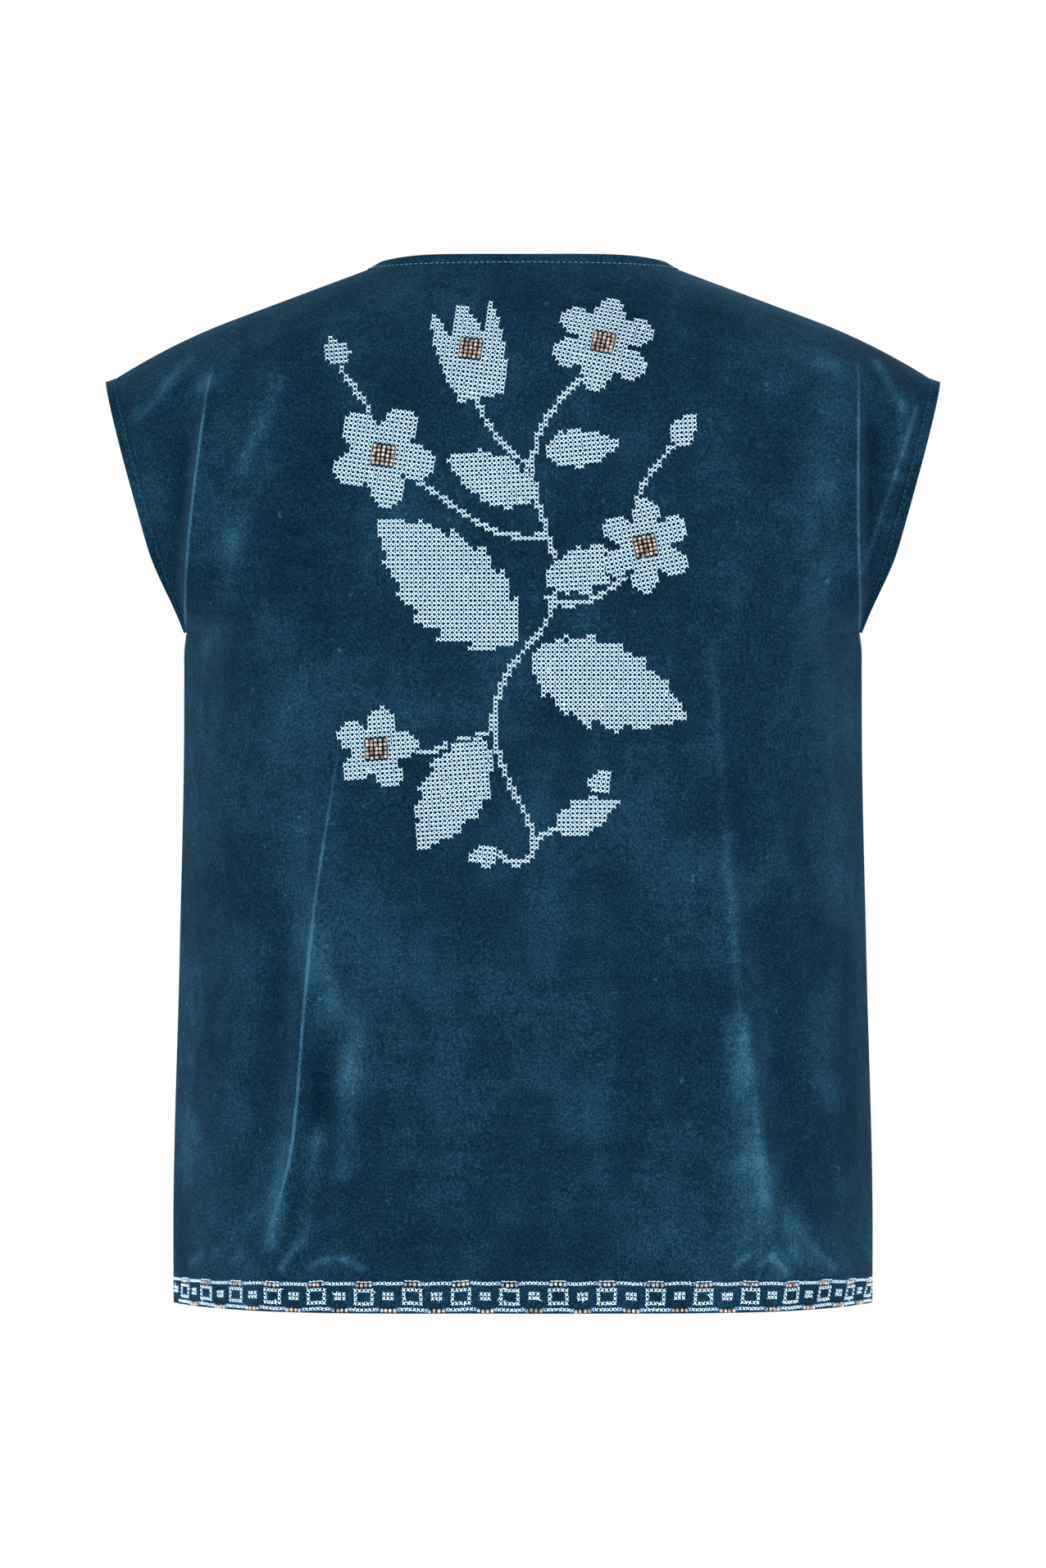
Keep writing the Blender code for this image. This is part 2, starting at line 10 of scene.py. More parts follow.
import bpy
import numpy as np
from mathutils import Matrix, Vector


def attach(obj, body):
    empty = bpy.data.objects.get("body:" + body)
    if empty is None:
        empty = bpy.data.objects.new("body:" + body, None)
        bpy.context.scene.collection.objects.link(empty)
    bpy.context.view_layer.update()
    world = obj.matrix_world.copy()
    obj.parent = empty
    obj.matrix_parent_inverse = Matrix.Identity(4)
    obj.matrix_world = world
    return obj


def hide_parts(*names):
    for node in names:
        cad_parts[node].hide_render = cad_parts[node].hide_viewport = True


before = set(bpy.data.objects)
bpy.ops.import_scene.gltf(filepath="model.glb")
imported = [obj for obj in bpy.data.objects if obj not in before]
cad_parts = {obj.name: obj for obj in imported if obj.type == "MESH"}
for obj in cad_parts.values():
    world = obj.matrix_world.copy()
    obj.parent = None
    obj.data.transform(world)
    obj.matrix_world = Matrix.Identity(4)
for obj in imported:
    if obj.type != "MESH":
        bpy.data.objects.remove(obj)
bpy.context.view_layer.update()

MM = 0.001

# Cloth and seams: wall thicknesses, the construction's gap at a seam, and how far the cloth laps
VELVET = 0.0016
BAND_CLOTH = 0.0022
SEAM_GAP = 0.0003
SEAM_LAP = 0.0002
SEAM_Y = -SEAM_LAP / 2
SEAM_NORMAL_LEAST = 0.05
SAME_PLACE = 1e-6

# Rounded edges: radius as a share of the thickness, and the added rows in radii, within a grid cell
RIM_ROUNDING = 0.14
RIM_STEPS = (0.08, 0.3, 0.65, 1.1)
RIM_SHARE_OF_CELL = 0.9

# Points that the walls' outward directions are judged from
BODY_CENTRE = (0.0, 0.0, -0.3)
NECK_CENTRE = (0.0, 0.0, -0.1)

# Lengths and heights
HEM_Z = -0.604
HEM_BAND_HEIGHT = 0.0182
HEM_BAND_STANDS_OUT = 0.0004
PANEL_FOOT_Z = HEM_Z + HEM_BAND_HEIGHT - SEAM_LAP
UNDERARM_Z = -0.2125
UNDERARM_HALF_WIDTH = 0.1967

# Neck and shoulders
NECK_HALF_WIDTH = 0.0915
NECK_POINT_Z = -0.001
NECK_HOLLOW_RISE = 0.022
SHOULDER_SLOPE = 0.375
SHOULDER_TIP_X = 0.2377
CAP_START_X = 0.170
CAP_DROP = 0.0084
ROLL_AT_NECK = 0.110
ROLL_AT_TIP = 0.060

# Cross-section of the body, and the armhole
SIDE_FULLNESS = 4.5
SIDE_ROUNDING = 1.15
ARMHOLE_HALF_DEPTH = 0.050
ARMHOLE_ROUND_SHARE = 0.45
ARMHOLE_BLUNTNESS = 0.7
EDGE_SHARE = 0.18
ARMHOLE_BEND = (0.2256, -0.1130)

# Bands
NECK_BAND_WIDTH = 0.0062
NECK_BAND_WIDTH_AT_SHOULDER = 0.0082
NECK_BAND_LEAN = (0.35, 0.94)
NECK_BAND_LEAN_AT_SHOULDER = (-0.86, 0.51)
ARMHOLE_BAND_WIDTH = 0.0064
ARMHOLE_BAND_AIM_AT_UNDERARM = (0.90, -0.43)
ARMHOLE_BAND_AIM_AT_TIP = (0.88, -0.28)
ARMHOLE_BAND_LEAST = 0.20
ARMHOLE_BAND_FULL_FROM = 0.35
FRONT_BAND_WIDTH = 0.0060
FRONT_GAP = 0.003
FRONT_EDGE_X = FRONT_GAP / 2 + FRONT_BAND_WIDTH + SEAM_GAP
FRONT_BAND_TURN_Z = UNDERARM_Z * 0.3
V_LOWER_BEND = (FRONT_EDGE_X, -0.160)
V_UPPER_BEND = (0.066, -0.062)

# Grid sizes: cells across and up each piece
NECK_COLUMNS = 26
SHOULDER_COLUMNS = 92
FRONT_COLUMNS = 104
BODY_ROWS = 104
YOKE_ROWS = 76
NECK_SHARE = 0.40
COLUMN_CROWDING = 0.5
ROW_CROWDING = 0.5
YOKE_BEND_POWER = 3
BAND_CELLS = 5
HEM_BAND_CELLS = 7

# Points along the curves that are read by interpolation, and the step that directions are read over
ARMHOLE_SAMPLES = 161
SECTION_SAMPLES = 400
DOWN_SAMPLES = 1200
HEM_SAMPLES = 3001
FRAME_STEP = 0.4 * MM

# A row for each height: half-width of the body, and how far back and front stand from the seam plane
Section = namedtuple("Section", "z half_width back_depth front_depth")
SECTIONS = (
    Section(-0.604, 0.2043, 0.1010, 0.1010),
    Section(-0.500, 0.2030, 0.1003, 0.1022),
    Section(-0.400, 0.2007, 0.1000, 0.1050),
    Section(-0.310, 0.1990, 0.1007, 0.1105),
    Section(-0.250, 0.1990, 0.1015, 0.1140),
    Section(-0.195, 0.2110, 0.1018, 0.1150),
    Section(-0.140, 0.2370, 0.1015, 0.1130),
    Section(-0.070, 0.2600, 0.1006, 0.1080),
    Section(0.020, 0.2800, 0.1000, 0.1040),
)

# The side seam, with the tuck just under the arm
SeamRow = namedtuple("SeamRow", "z half_width")
SIDE_SEAM = (
    SeamRow(-0.6040, 0.2042),
    SeamRow(-0.5610, 0.2044),
    SeamRow(-0.4000, 0.2007),
    SeamRow(-0.2700, 0.1981),
    SeamRow(-0.2350, 0.1980),
    SeamRow(-0.2220, 0.1979),
    SeamRow(UNDERARM_Z, UNDERARM_HALF_WIDTH),
)

# Folds: side is -1 for the wearer's left and +1 for the right, inner and outer are the widths of the
# crest's two slopes, dip is the hollow beyond the outer slope as a share of the rise, and recover is
# that hollow's width. Each row gives the crest's height, its place and its rise.
# Only a sharp fold has a narrow crest, with a painted highlight along it.
Fold = namedtuple("Fold", "side inner outer dip recover rows sharp", defaults=(False,))
FoldRow = namedtuple("FoldRow", "z x rise")

LEFT_SLEEVE_FOLD = Fold(-1, 0.019, 0.0065, 0.40, 0.024, (
    FoldRow(-0.2350, 0.1990, 0.0000),
    FoldRow(-0.2165, 0.1973, 0.0042),
    FoldRow(-0.1700, 0.1935, 0.0072),
    FoldRow(-0.1365, 0.1897, 0.0080),
    FoldRow(-0.1000, 0.1850, 0.0068),
    FoldRow(-0.0730, 0.1815, 0.0036),
    FoldRow(-0.0550, 0.1780, 0.0000),
), sharp=True)
RIGHT_SLEEVE_FOLD = Fold(1, 0.019, 0.0065, 0.40, 0.024, (
    FoldRow(-0.2350, 0.1990, 0.0000),
    FoldRow(-0.2165, 0.1970, 0.0042),
    FoldRow(-0.1700, 0.1935, 0.0072),
    FoldRow(-0.1190, 0.1926, 0.0080),
    FoldRow(-0.0900, 0.1930, 0.0058),
    FoldRow(-0.0656, 0.1935, 0.0026),
    FoldRow(-0.0500, 0.1940, 0.0000),
), sharp=True)
LEFT_FLUTE = Fold(-1, 0.030, 0.014, 0.30, 0.025, (
    FoldRow(-0.604, 0.1570, 0.0006),
    FoldRow(-0.576, 0.1510, 0.0010),
    FoldRow(-0.540, 0.1400, 0.0022),
    FoldRow(-0.515, 0.1335, 0.0060),
    FoldRow(-0.487, 0.1300, 0.0080),
    FoldRow(-0.437, 0.1260, 0.008),
    FoldRow(-0.372, 0.1195, 0.006),
    FoldRow(-0.309, 0.1100, 0.003),
    FoldRow(-0.255, 0.1020, 0.000),
), sharp=True)
LEFT_INNER_RIDGE = Fold(-1, 0.014, 0.012, 0.80, 0.012, (
    FoldRow(-0.560, 0.1050, 0.000),
    FoldRow(-0.516, 0.1035, 0.005),
    FoldRow(-0.474, 0.1006, 0.005),
    FoldRow(-0.430, 0.0990, 0.000),
))
RIGHT_FLUTE = Fold(1, 0.030, 0.014, 0.30, 0.025, (
    FoldRow(-0.604, 0.1480, 0.0006),
    FoldRow(-0.560, 0.1430, 0.0012),
    FoldRow(-0.535, 0.1395, 0.0030),
    FoldRow(-0.510, 0.1372, 0.0066),
    FoldRow(-0.480, 0.1346, 0.0080),
    FoldRow(-0.419, 0.1255, 0.008),
    FoldRow(-0.368, 0.1180, 0.006),
    FoldRow(-0.287, 0.1120, 0.004),
    FoldRow(-0.207, 0.1035, 0.000),
))
LEFT_YOKE_RIDGE = Fold(-1, 0.020, 0.016, 0.0, 0.010, (
    FoldRow(-0.2000, 0.1750, 0.000),
    FoldRow(-0.1500, 0.1735, 0.003),
    FoldRow(-0.1190, 0.1710, 0.004),
    FoldRow(-0.0700, 0.1500, 0.003),
    FoldRow(-0.0345, 0.1280, 0.000),
))
LEFT_CAP_FOLD = Fold(-1, 0.010, 0.008, 0.3, 0.010, (
    FoldRow(-0.110, 0.2300, 0.0000),
    FoldRow(-0.083, 0.2220, 0.0030),
    FoldRow(-0.051, 0.2065, 0.0022),
    FoldRow(-0.036, 0.1960, 0.0000),
))
RIGHT_CAP_FOLD = Fold(1, 0.010, 0.008, 0.3, 0.010, (
    FoldRow(-0.110, 0.2300, 0.0000),
    FoldRow(-0.083, 0.2227, 0.0038),
    FoldRow(-0.048, 0.2070, 0.0024),
    FoldRow(-0.030, 0.1940, 0.0000),
))
RIGHT_YOKE_RIDGE = Fold(1, 0.022, 0.018, 0.0, 0.010, (
    FoldRow(-0.1900, 0.1660, 0.0000),
    FoldRow(-0.1300, 0.1620, 0.0016),
    FoldRow(-0.0800, 0.1510, 0.0014),
    FoldRow(-0.0350, 0.1330, 0.0000),
))
LEFT_HEM_TUCK = Fold(-1, 0.012, 0.009, 0.5, 0.012, (
    FoldRow(-0.604, 0.1880, 0.0008),
    FoldRow(-0.586, 0.1860, 0.0018),
    FoldRow(-0.560, 0.1790, 0.0012),
    FoldRow(-0.530, 0.1700, 0.0000),
))
RIGHT_HEM_TUCK = Fold(1, 0.011, 0.009, 0.5, 0.012, (
    FoldRow(-0.604, 0.1860, 0.0008),
    FoldRow(-0.586, 0.1845, 0.0017),
    FoldRow(-0.562, 0.1760, 0.0011),
    FoldRow(-0.535, 0.1660, 0.0000),
))
RIGHT_LOW_RIDGE = Fold(1, 0.016, 0.012, 0.4, 0.014, (
    FoldRow(-0.604, 0.1000, 0.0004),
    FoldRow(-0.560, 0.1010, 0.0014),
    FoldRow(-0.500, 0.1030, 0.0016),
    FoldRow(-0.440, 0.1040, 0.0000),
))
LEFT_FRONT_SLEEVE_FOLD = Fold(-1, 0.020, 0.009, 0.30, 0.025, (
    FoldRow(-0.2300, 0.1980, 0.000),
    FoldRow(-0.1900, 0.1930, 0.005),
    FoldRow(-0.1400, 0.1860, 0.006),
    FoldRow(-0.0950, 0.1800, 0.004),
    FoldRow(-0.0600, 0.1760, 0.000),
), sharp=True)
RIGHT_FRONT_SLEEVE_FOLD = Fold(1, 0.020, 0.009, 0.30, 0.025, (
    FoldRow(-0.2350, 0.1980, 0.000),
    FoldRow(-0.2000, 0.1940, 0.004),
    FoldRow(-0.1500, 0.1890, 0.006),
    FoldRow(-0.1050, 0.1850, 0.005),
    FoldRow(-0.0650, 0.1820, 0.000),
), sharp=True)
LEFT_FRONT_FLUTE = Fold(-1, 0.032, 0.016, 0.30, 0.025, (
    FoldRow(-0.604, 0.1380, 0.002),
    FoldRow(-0.520, 0.1300, 0.007),
    FoldRow(-0.420, 0.1190, 0.007),
    FoldRow(-0.330, 0.1100, 0.003),
    FoldRow(-0.260, 0.1050, 0.000),
), sharp=True)
RIGHT_FRONT_FLUTE = Fold(1, 0.030, 0.015, 0.30, 0.025, (
    FoldRow(-0.604, 0.1480, 0.002),
    FoldRow(-0.540, 0.1420, 0.006),
    FoldRow(-0.450, 0.1300, 0.007),
    FoldRow(-0.360, 0.1190, 0.005),
    FoldRow(-0.250, 0.1080, 0.000),
), sharp=True)
LEFT_FRONT_EDGE_FOLD = Fold(-1, 0.020, 0.016, 0.3, 0.020, (
    FoldRow(-0.560, 0.0520, 0.0000),
    FoldRow(-0.480, 0.0500, 0.0022),
    FoldRow(-0.380, 0.0540, 0.0020),
    FoldRow(-0.300, 0.0600, 0.0000),
))
RIGHT_FRONT_EDGE_FOLD = Fold(1, 0.018, 0.015, 0.3, 0.020, (
    FoldRow(-0.590, 0.0600, 0.0000),
    FoldRow(-0.520, 0.0580, 0.0020),
    FoldRow(-0.430, 0.0560, 0.0022),
    FoldRow(-0.340, 0.0600, 0.0000),
))
BACK_FOLDS = (LEFT_SLEEVE_FOLD, RIGHT_SLEEVE_FOLD, LEFT_FLUTE, LEFT_INNER_RIDGE, RIGHT_FLUTE,
              LEFT_YOKE_RIDGE, LEFT_CAP_FOLD, RIGHT_CAP_FOLD, RIGHT_YOKE_RIDGE, LEFT_HEM_TUCK,
              RIGHT_HEM_TUCK, RIGHT_LOW_RIDGE)
FRONT_FOLDS = (LEFT_FRONT_SLEEVE_FOLD, RIGHT_FRONT_SLEEVE_FOLD, LEFT_FRONT_FLUTE, RIGHT_FRONT_FLUTE,
               LEFT_CAP_FOLD, RIGHT_CAP_FOLD, LEFT_FRONT_EDGE_FOLD, RIGHT_FRONT_EDGE_FOLD,
               LEFT_HEM_TUCK, RIGHT_HEM_TUCK)
FOLD_FADE = 0.007
FULL_RISE = 0.0055
CREST_ROUNDING = 0.09
CREST_POWER = 1.5
FAR_FROM_CREST = 1.0

# The cloth's slow waves: wavelengths across and up, phase and height of each
Wave = namedtuple("Wave", "across up phase height")
WAVES = (
    Wave(0.118, 0.310, 0.4, 0.00045),
    Wave(0.071, 0.190, 2.1, 0.00030),
    Wave(0.046, 0.120, 4.0, 0.00016),
    Wave(0.160, 0.085, 5.2, 0.00025),
)
FRONT_PHASE = 1.7

# Painted light on the velvet: painted highlight along fold ridges, wrinkles and lit patches (or, below
# zero, painted shade beside the folds): a stroke from one end to the other, its half-width and its strength
Stroke = namedtuple("Stroke", "x0 z0 x1 z1 reach strength")
BACK_PAINTED_LIGHT = (
    Stroke(-0.120, -0.385, -0.110, -0.430, 0.010, 0.15),
    Stroke(-0.108, -0.426, -0.098, -0.476, 0.010, 0.18),
    Stroke(-0.124, -0.330, -0.116, -0.410, 0.008, 0.12),
    Stroke(-0.096, -0.440, -0.100, -0.520, 0.007, 0.17),
    Stroke(-0.117, -0.462, -0.118, -0.488, 0.008, -0.16),
    Stroke(-0.136, -0.509, -0.145, -0.566, 0.005, 0.28),
    Stroke(-0.119, -0.503, -0.125, -0.562, 0.0045, 0.30),
    Stroke(-0.110, -0.520, -0.116, -0.590, 0.012, 0.08),
    Stroke(-0.150, -0.546, -0.177, -0.573, 0.005, 0.13),
    Stroke(-0.142, -0.400, -0.150, -0.500, 0.008, -0.08),
    Stroke(-0.191, -0.410, -0.194, -0.530, 0.007, 0.22),
    Stroke(-0.189, -0.230, -0.191, -0.340, 0.009, 0.10),
    Stroke(-0.182, -0.219, -0.172, -0.212, 0.007, 0.14),
    Stroke(0.198, -0.043, 0.215, -0.052, 0.009, -0.13),
    Stroke(-0.139, -0.579, -0.130, -0.565, 0.0022, 0.38),
    Stroke(-0.168, -0.577, -0.162, -0.571, 0.0022, 0.28),
    Stroke(-0.122, -0.577, -0.113, -0.5735, 0.0022, 0.28),
    Stroke(-0.113, -0.5735, -0.102, -0.5730, 0.0022, 0.26),
    Stroke(-0.102, -0.5730, -0.090, -0.5785, 0.0022, 0.26),
    Stroke(-0.193, -0.579, -0.186, -0.574, 0.0024, 0.20),
    Stroke(0.108, -0.225, 0.116, -0.330, 0.003, 0.14),
    Stroke(0.116, -0.330, 0.1215, -0.400, 0.003, 0.17),
    Stroke(0.1215, -0.400, 0.1265, -0.447, 0.003, 0.17),
    Stroke(0.1265, -0.447, 0.1360, -0.508, 0.0035, 0.16),
    Stroke(0.1360, -0.508, 0.1395, -0.540, 0.0030, 0.12),
    Stroke(0.120, -0.440, 0.131, -0.515, 0.0075, 0.30),
    Stroke(0.125, -0.520, 0.143, -0.523, 0.008, 0.14),
    Stroke(0.137, -0.516, 0.139, -0.540, 0.004, 0.18),
    Stroke(0.138, -0.540, 0.144, -0.577, 0.016, 0.19),
    Stroke(0.157, -0.558, 0.173, -0.579, 0.008, 0.15),
    Stroke(0.173, -0.476, 0.182, -0.481, 0.010, 0.13),
    Stroke(0.176, -0.420, 0.182, -0.450, 0.012, 0.10),
    Stroke(0.178, -0.300, 0.184, -0.370, 0.010, 0.08),
    Stroke(0.152, -0.380, 0.158, -0.480, 0.010, -0.08),
    Stroke(0.122, -0.577, 0.129, -0.571, 0.0022, 0.26),
    Stroke(0.1355, -0.577, 0.143, -0.572, 0.0022, 0.24),
    Stroke(0.143, -0.572, 0.151, -0.581, 0.0022, 0.24),
    Stroke(0.155, -0.568, 0.160, -0.577, 0.0022, 0.20),
    Stroke(0.1685, -0.568, 0.1795, -0.581, 0.0022, 0.25),
    Stroke(-0.125, -0.100, -0.135, -0.180, 0.022, -0.09),
    Stroke(-0.140, -0.070, -0.161, -0.120, 0.0055, 0.17),
    Stroke(-0.146, -0.121, -0.163, -0.155, 0.005, 0.09),
    Stroke(-0.167, -0.162, -0.1725, -0.196, 0.0065, 0.20),
    Stroke(-0.193, -0.056, -0.2215, -0.0885, 0.004, 0.30),
    Stroke(-0.1805, -0.069, -0.1835, -0.0725, 0.0045, 0.26),
    Stroke(-0.196, -0.110, -0.200, -0.205, 0.007, -0.15),
    Stroke(0.134, -0.034, 0.176, -0.060, 0.012, 0.12),
    Stroke(0.176, -0.080, 0.172, -0.200, 0.012, 0.12),
    Stroke(0.205, -0.056, 0.219, -0.083, 0.0035, 0.28),
    Stroke(0.219, -0.083, 0.218, -0.109, 0.0035, 0.14),
    Stroke(0.2276, -0.083, 0.2156, -0.121, 0.0016, 0.22),
    Stroke(0.2156, -0.121, 0.1960, -0.178, 0.0016, 0.28),
    Stroke(0.200, -0.122, 0.222, -0.125, 0.0024, 0.16),
    Stroke(0.201, -0.100, 0.200, -0.205, 0.007, -0.15),
    Stroke(-0.030, -0.470, 0.060, -0.500, 0.030, 0.07),
    Stroke(-0.070, -0.360, -0.060, -0.420, 0.022, 0.06),
    Stroke(0.020, -0.540, 0.090, -0.560, 0.020, 0.06),
)
# Painted highlight and shade on the fronts
FRONT_PAINTED_LIGHT = (
    Stroke(-0.118, -0.360, -0.134, -0.590, 0.016, 0.22),
    Stroke(-0.060, -0.330, -0.056, -0.520, 0.012, 0.12),
    Stroke(-0.186, -0.240, -0.190, -0.590, 0.012, 0.10),
    Stroke(-0.150, -0.070, -0.176, -0.220, 0.016, 0.16),
    Stroke(0.112, -0.320, 0.140, -0.590, 0.015, 0.22),
    Stroke(0.060, -0.360, 0.058, -0.560, 0.012, 0.12),
    Stroke(0.186, -0.260, 0.190, -0.590, 0.012, 0.09),
    Stroke(0.140, -0.050, 0.178, -0.210, 0.016, 0.14),
    Stroke(0.200, -0.056, 0.218, -0.082, 0.007, 0.26),
    Stroke(-0.200, -0.058, -0.216, -0.084, 0.007, 0.28),
    Stroke(-0.134, -0.577, -0.126, -0.566, 0.0024, 0.24),
    Stroke(-0.060, -0.579, -0.052, -0.570, 0.0024, 0.22),
    Stroke(0.150, -0.578, 0.142, -0.568, 0.0024, 0.26),
    Stroke(0.066, -0.577, 0.074, -0.571, 0.0024, 0.22),
    Stroke(0.198, -0.043, 0.215, -0.052, 0.009, -0.13),
)

# Cross stitch
CROSS_PITCH = 0.00260
CROSS_CELL = (0.00246, 0.00240)
THREAD_WIDTH = 0.00053
THREAD_THICKNESS = 0.00048
THREAD_SIDES = 4
CROSS_ARCH = (0.0, 0.75, 1.0, 0.75, 0.0)
CROSS_PLACES = (-1.0, -0.60, 0.0, 0.60, 1.0)
TIGHT_HEIGHTS = (-1.0, -0.34, 0.0, 0.34, 1.0)
CROSS_RISE = 0.00050
CROSS_SINK = -0.00018
UPPER_THREAD_RISE = 0.00040
CROSS_SPREAD = 0.06
CROSS_SHIFT = 0.13 * MM
BORDER_CROSS_SHARE = (0.76, 0.77)
STITCH_CLEAR = 0.80

# Loose thread ends beside the crosses
END_LENGTH = 0.0026
END_LENGTH_RANGE = (0.7, 1.4)
END_BEND = 0.8
END_RISE = 0.0006
SPRAY_ENDS = 30
ENDS_PER_SQUARE = 2

# Hem border, in the cloth's own lengths; its stitches draw down and slant by powers of the way out
SQUARES_ACROSS_BACK = 18
SQUARES_ACROSS_FRONT = 9
BORDER_SHIFT = 0.0062
BORDER_DRAWN_DOWN = 0.19
BORDER_SLANT = 0.60
BORDER_SIDE_POWER = 3
BORDER_WAVER = 0.00018
BORDER_WAVELENGTHS = (0.041, 0.0173)
BORDER_TILT_SPREAD = 0.16
FASTENING_CELL = (0.0007, 0.0019)
FASTENING_BEYOND = 0.1
FASTENING_TILT_SPREAD = 0.2
FASTENING_LIFT = 1.6 * THREAD_THICKNESS
TOP_LINE_Z = -0.5867
SQUARE_Z = -0.59425
STAR_Z = -0.5940
BOTTOM_LINE_Z = -0.6017
SQUARE_CELLS = (5, 4)
SQUARE_CELL = (0.00240, 0.00256)
STAR_CELLS = (3, 2)
STAR_CELL = (0.00222, 0.00252)
LINE_CELL = (0.00240, 0.00235)
DASH_RISE = 0.00125
DASH_HEIGHT = 0.0003
CROSSES_PER_MOTIF = 12

# Beads
BEAD_RADIUS = 0.00112
BEAD_LENGTH = 0.00185
BEAD_HOLE = 0.00036
BEAD_AROUND = 10
BEAD_PROFILE = 8
BEADS_PER_GROUP = 4
HEM_BEAD_SPACING = 0.0026
HEM_BEAD_DROP = 0.0005
HEART_COLUMNS = 5
HEART_ROWS = 5
HEART_SPACING = (0.00262, 0.00240)
HEART_BEAD_LIFT = 0.95 * BEAD_RADIUS
HEM_BEAD_LIFT = 1.25 * BEAD_RADIUS
BEAD_SIZE_SPREAD = 0.04
BEAD_PLACE_SPREAD = 0.12 * MM
HEM_BEAD_SPREAD = 0.15 * MM
BEAD_SLANT_SPREAD = 0.10

# Topstitching
TOPSTITCH_SPACING = 0.0034
TOPSTITCH_LENGTH = 0.0020
TOPSTITCH_WIDTH = 0.00060
TOPSTITCH_THICKNESS = 0.7 * TOPSTITCH_WIDTH
TOPSTITCH_INSET = 0.0009
TOPSTITCH_POINTS = 4
STITCHED_ROWS = slice(2, -3)
TOPSTITCH_RISE = 0.28 * MM
TOPSTITCH_SINK = 0.05 * MM

# The cut of what shows of each piece: its blank's width and length, and its area as sewn
Cut = namedtuple("Cut", "width length area")


def smooth_through(at, places, values):
    """Cubic curve through a table's rows, whose slope at each row comes from its neighbours."""
    places = np.array(places)
    values = np.array(values)
    slopes = np.gradient(values, places)
    row = np.clip(np.searchsorted(places, at) - 1, 0, len(places) - 2)
    span = places[row + 1] - places[row]
    t = np.clip((at - places[row]) / span, 0.0, 1.0)
    from_low = (2 * t**3 - 3 * t**2 + 1) * values[row] + (t**3 - 2 * t**2 + t) * span * slopes[row]
    to_high = (3 * t**2 - 2 * t**3) * values[row + 1] + (t**3 - t**2) * span * slopes[row + 1]
    return from_low + to_high


def smooth_step(t):
    """Ease from 0 to 1 as t goes from 0 to 1."""
    t = np.clip(t, 0.0, 1.0)
    return t * t * (3 - 2 * t)


def bell(t):
    """1 at t = 0, easing down to 0 at t = 1 and t = -1."""
    return 0.5 + 0.5 * np.cos(np.pi * np.clip(np.abs(t), 0.0, 1.0))


def bezier(corners, t):
    """Point (x, z) of the curve that a few corners pull, by repeated blending between them."""
    t = np.asarray(t)[..., None]
    points = [np.array(corner) for corner in corners]
    while len(points) > 1:
        points = [a + (b - a) * t for a, b in zip(points[:-1], points[1:])]
    return points[0][..., 0], points[0][..., 1]


def unit(vectors):
    """Vectors at length one."""
    return vectors / np.linalg.norm(vectors, axis=-1, keepdims=True)


def ridge_z(x):
    """Height of the shoulder seam, and of the crest it would have across the neck."""
    across = np.abs(x)
    shoulder = NECK_POINT_Z - SHOULDER_SLOPE * (across - NECK_HALF_WIDTH)
    cap = np.clip((across - CAP_START_X) / (SHOULDER_TIP_X - CAP_START_X), 0.0, None)
    neck = NECK_POINT_Z + NECK_HOLLOW_RISE * (1 - (across / NECK_HALF_WIDTH) ** 2)
    return np.where(across < NECK_HALF_WIDTH, neck, shoulder - CAP_DROP * cap**2)


def armhole_edge(t):
    """Armhole edge of a panel, from the underarm (t = 0) to the shoulder tip (t = 1)."""
    underarm = (UNDERARM_HALF_WIDTH, UNDERARM_Z)
    tip = (SHOULDER_TIP_X, float(ridge_z(SHOULDER_TIP_X)))
    return bezier((underarm, ARMHOLE_BEND, tip), t)


def half_width(z):
    """Half the width at height z: the side seam below the underarm, the armhole edge above it."""
    heights, widths = np.array(SIDE_SEAM).T
    edge_x, edge_z = armhole_edge(np.linspace(0.0, 1.0, ARMHOLE_SAMPLES))
    return np.where(z <= UNDERARM_Z, smooth_through(z, heights, widths), np.interp(z, edge_z, edge_x))


def armhole_half_depth(z):
    """Half the armhole's opening from front to back: nothing below the underarm, a blunt V there."""
    tip_z = float(ridge_z(SHOULDER_TIP_X))
    t = np.clip((z - UNDERARM_Z) / (tip_z - UNDERARM_Z) / ARMHOLE_ROUND_SHARE, 0.0, 1.0)
    return ARMHOLE_HALF_DEPTH * (1 - (1 - t) ** 2) ** ARMHOLE_BLUNTNESS


def over_shoulder(x, z):
    """Share of the full depth left where the cloth rolls over the shoulder: a quarter circle."""
    roll = np.interp(np.abs(x), (NECK_HALF_WIDTH, SHOULDER_TIP_X), (ROLL_AT_NECK, ROLL_AT_TIP))
    below = np.clip((ridge_z(x) - z) / roll, 0.0, 1.0)
    return np.sqrt(1 - (1 - below) ** 2)


def creased(t):
    """1 at t = 0, down to 0 at t = 1 and t = -1: two curved slopes that meet in a narrow round crest."""
    far = np.sqrt(1 + CREST_ROUNDING**2)
    near = np.sqrt(t**2 + CREST_ROUNDING**2)
    return np.clip((far - near) / (far - CREST_ROUNDING), 0.0, 1.0) ** CREST_POWER


def from_crest(x, z, fold):
    """Distance of (x, z) beyond a fold's crest, and the fold's rise at that height."""
    heights, places, rises = np.array(fold.rows).T
    outward = fold.side * x - smooth_through(z, heights, places)
    rise = smooth_through(z, heights, rises)
    return outward, np.where((z < heights[0]) | (z > heights[-1]), 0.0, rise)


def fold_relief(x, z, folds):
    """Rise of the folds: a crest with two slopes, and a hollow beyond the outer one."""
    total = np.zeros_like(x)
    for fold in folds:
        outward, rise = from_crest(x, z, fold)
        slope = creased if fold.sharp else bell
        outer_slope = slope(outward / fold.outer)
        hollow = fold.dip * (1 - outer_slope) * bell((outward - fold.outer) / fold.recover)
        total += rise * np.where(outward < 0, slope(outward / fold.inner), outer_slope - hollow)
    return total


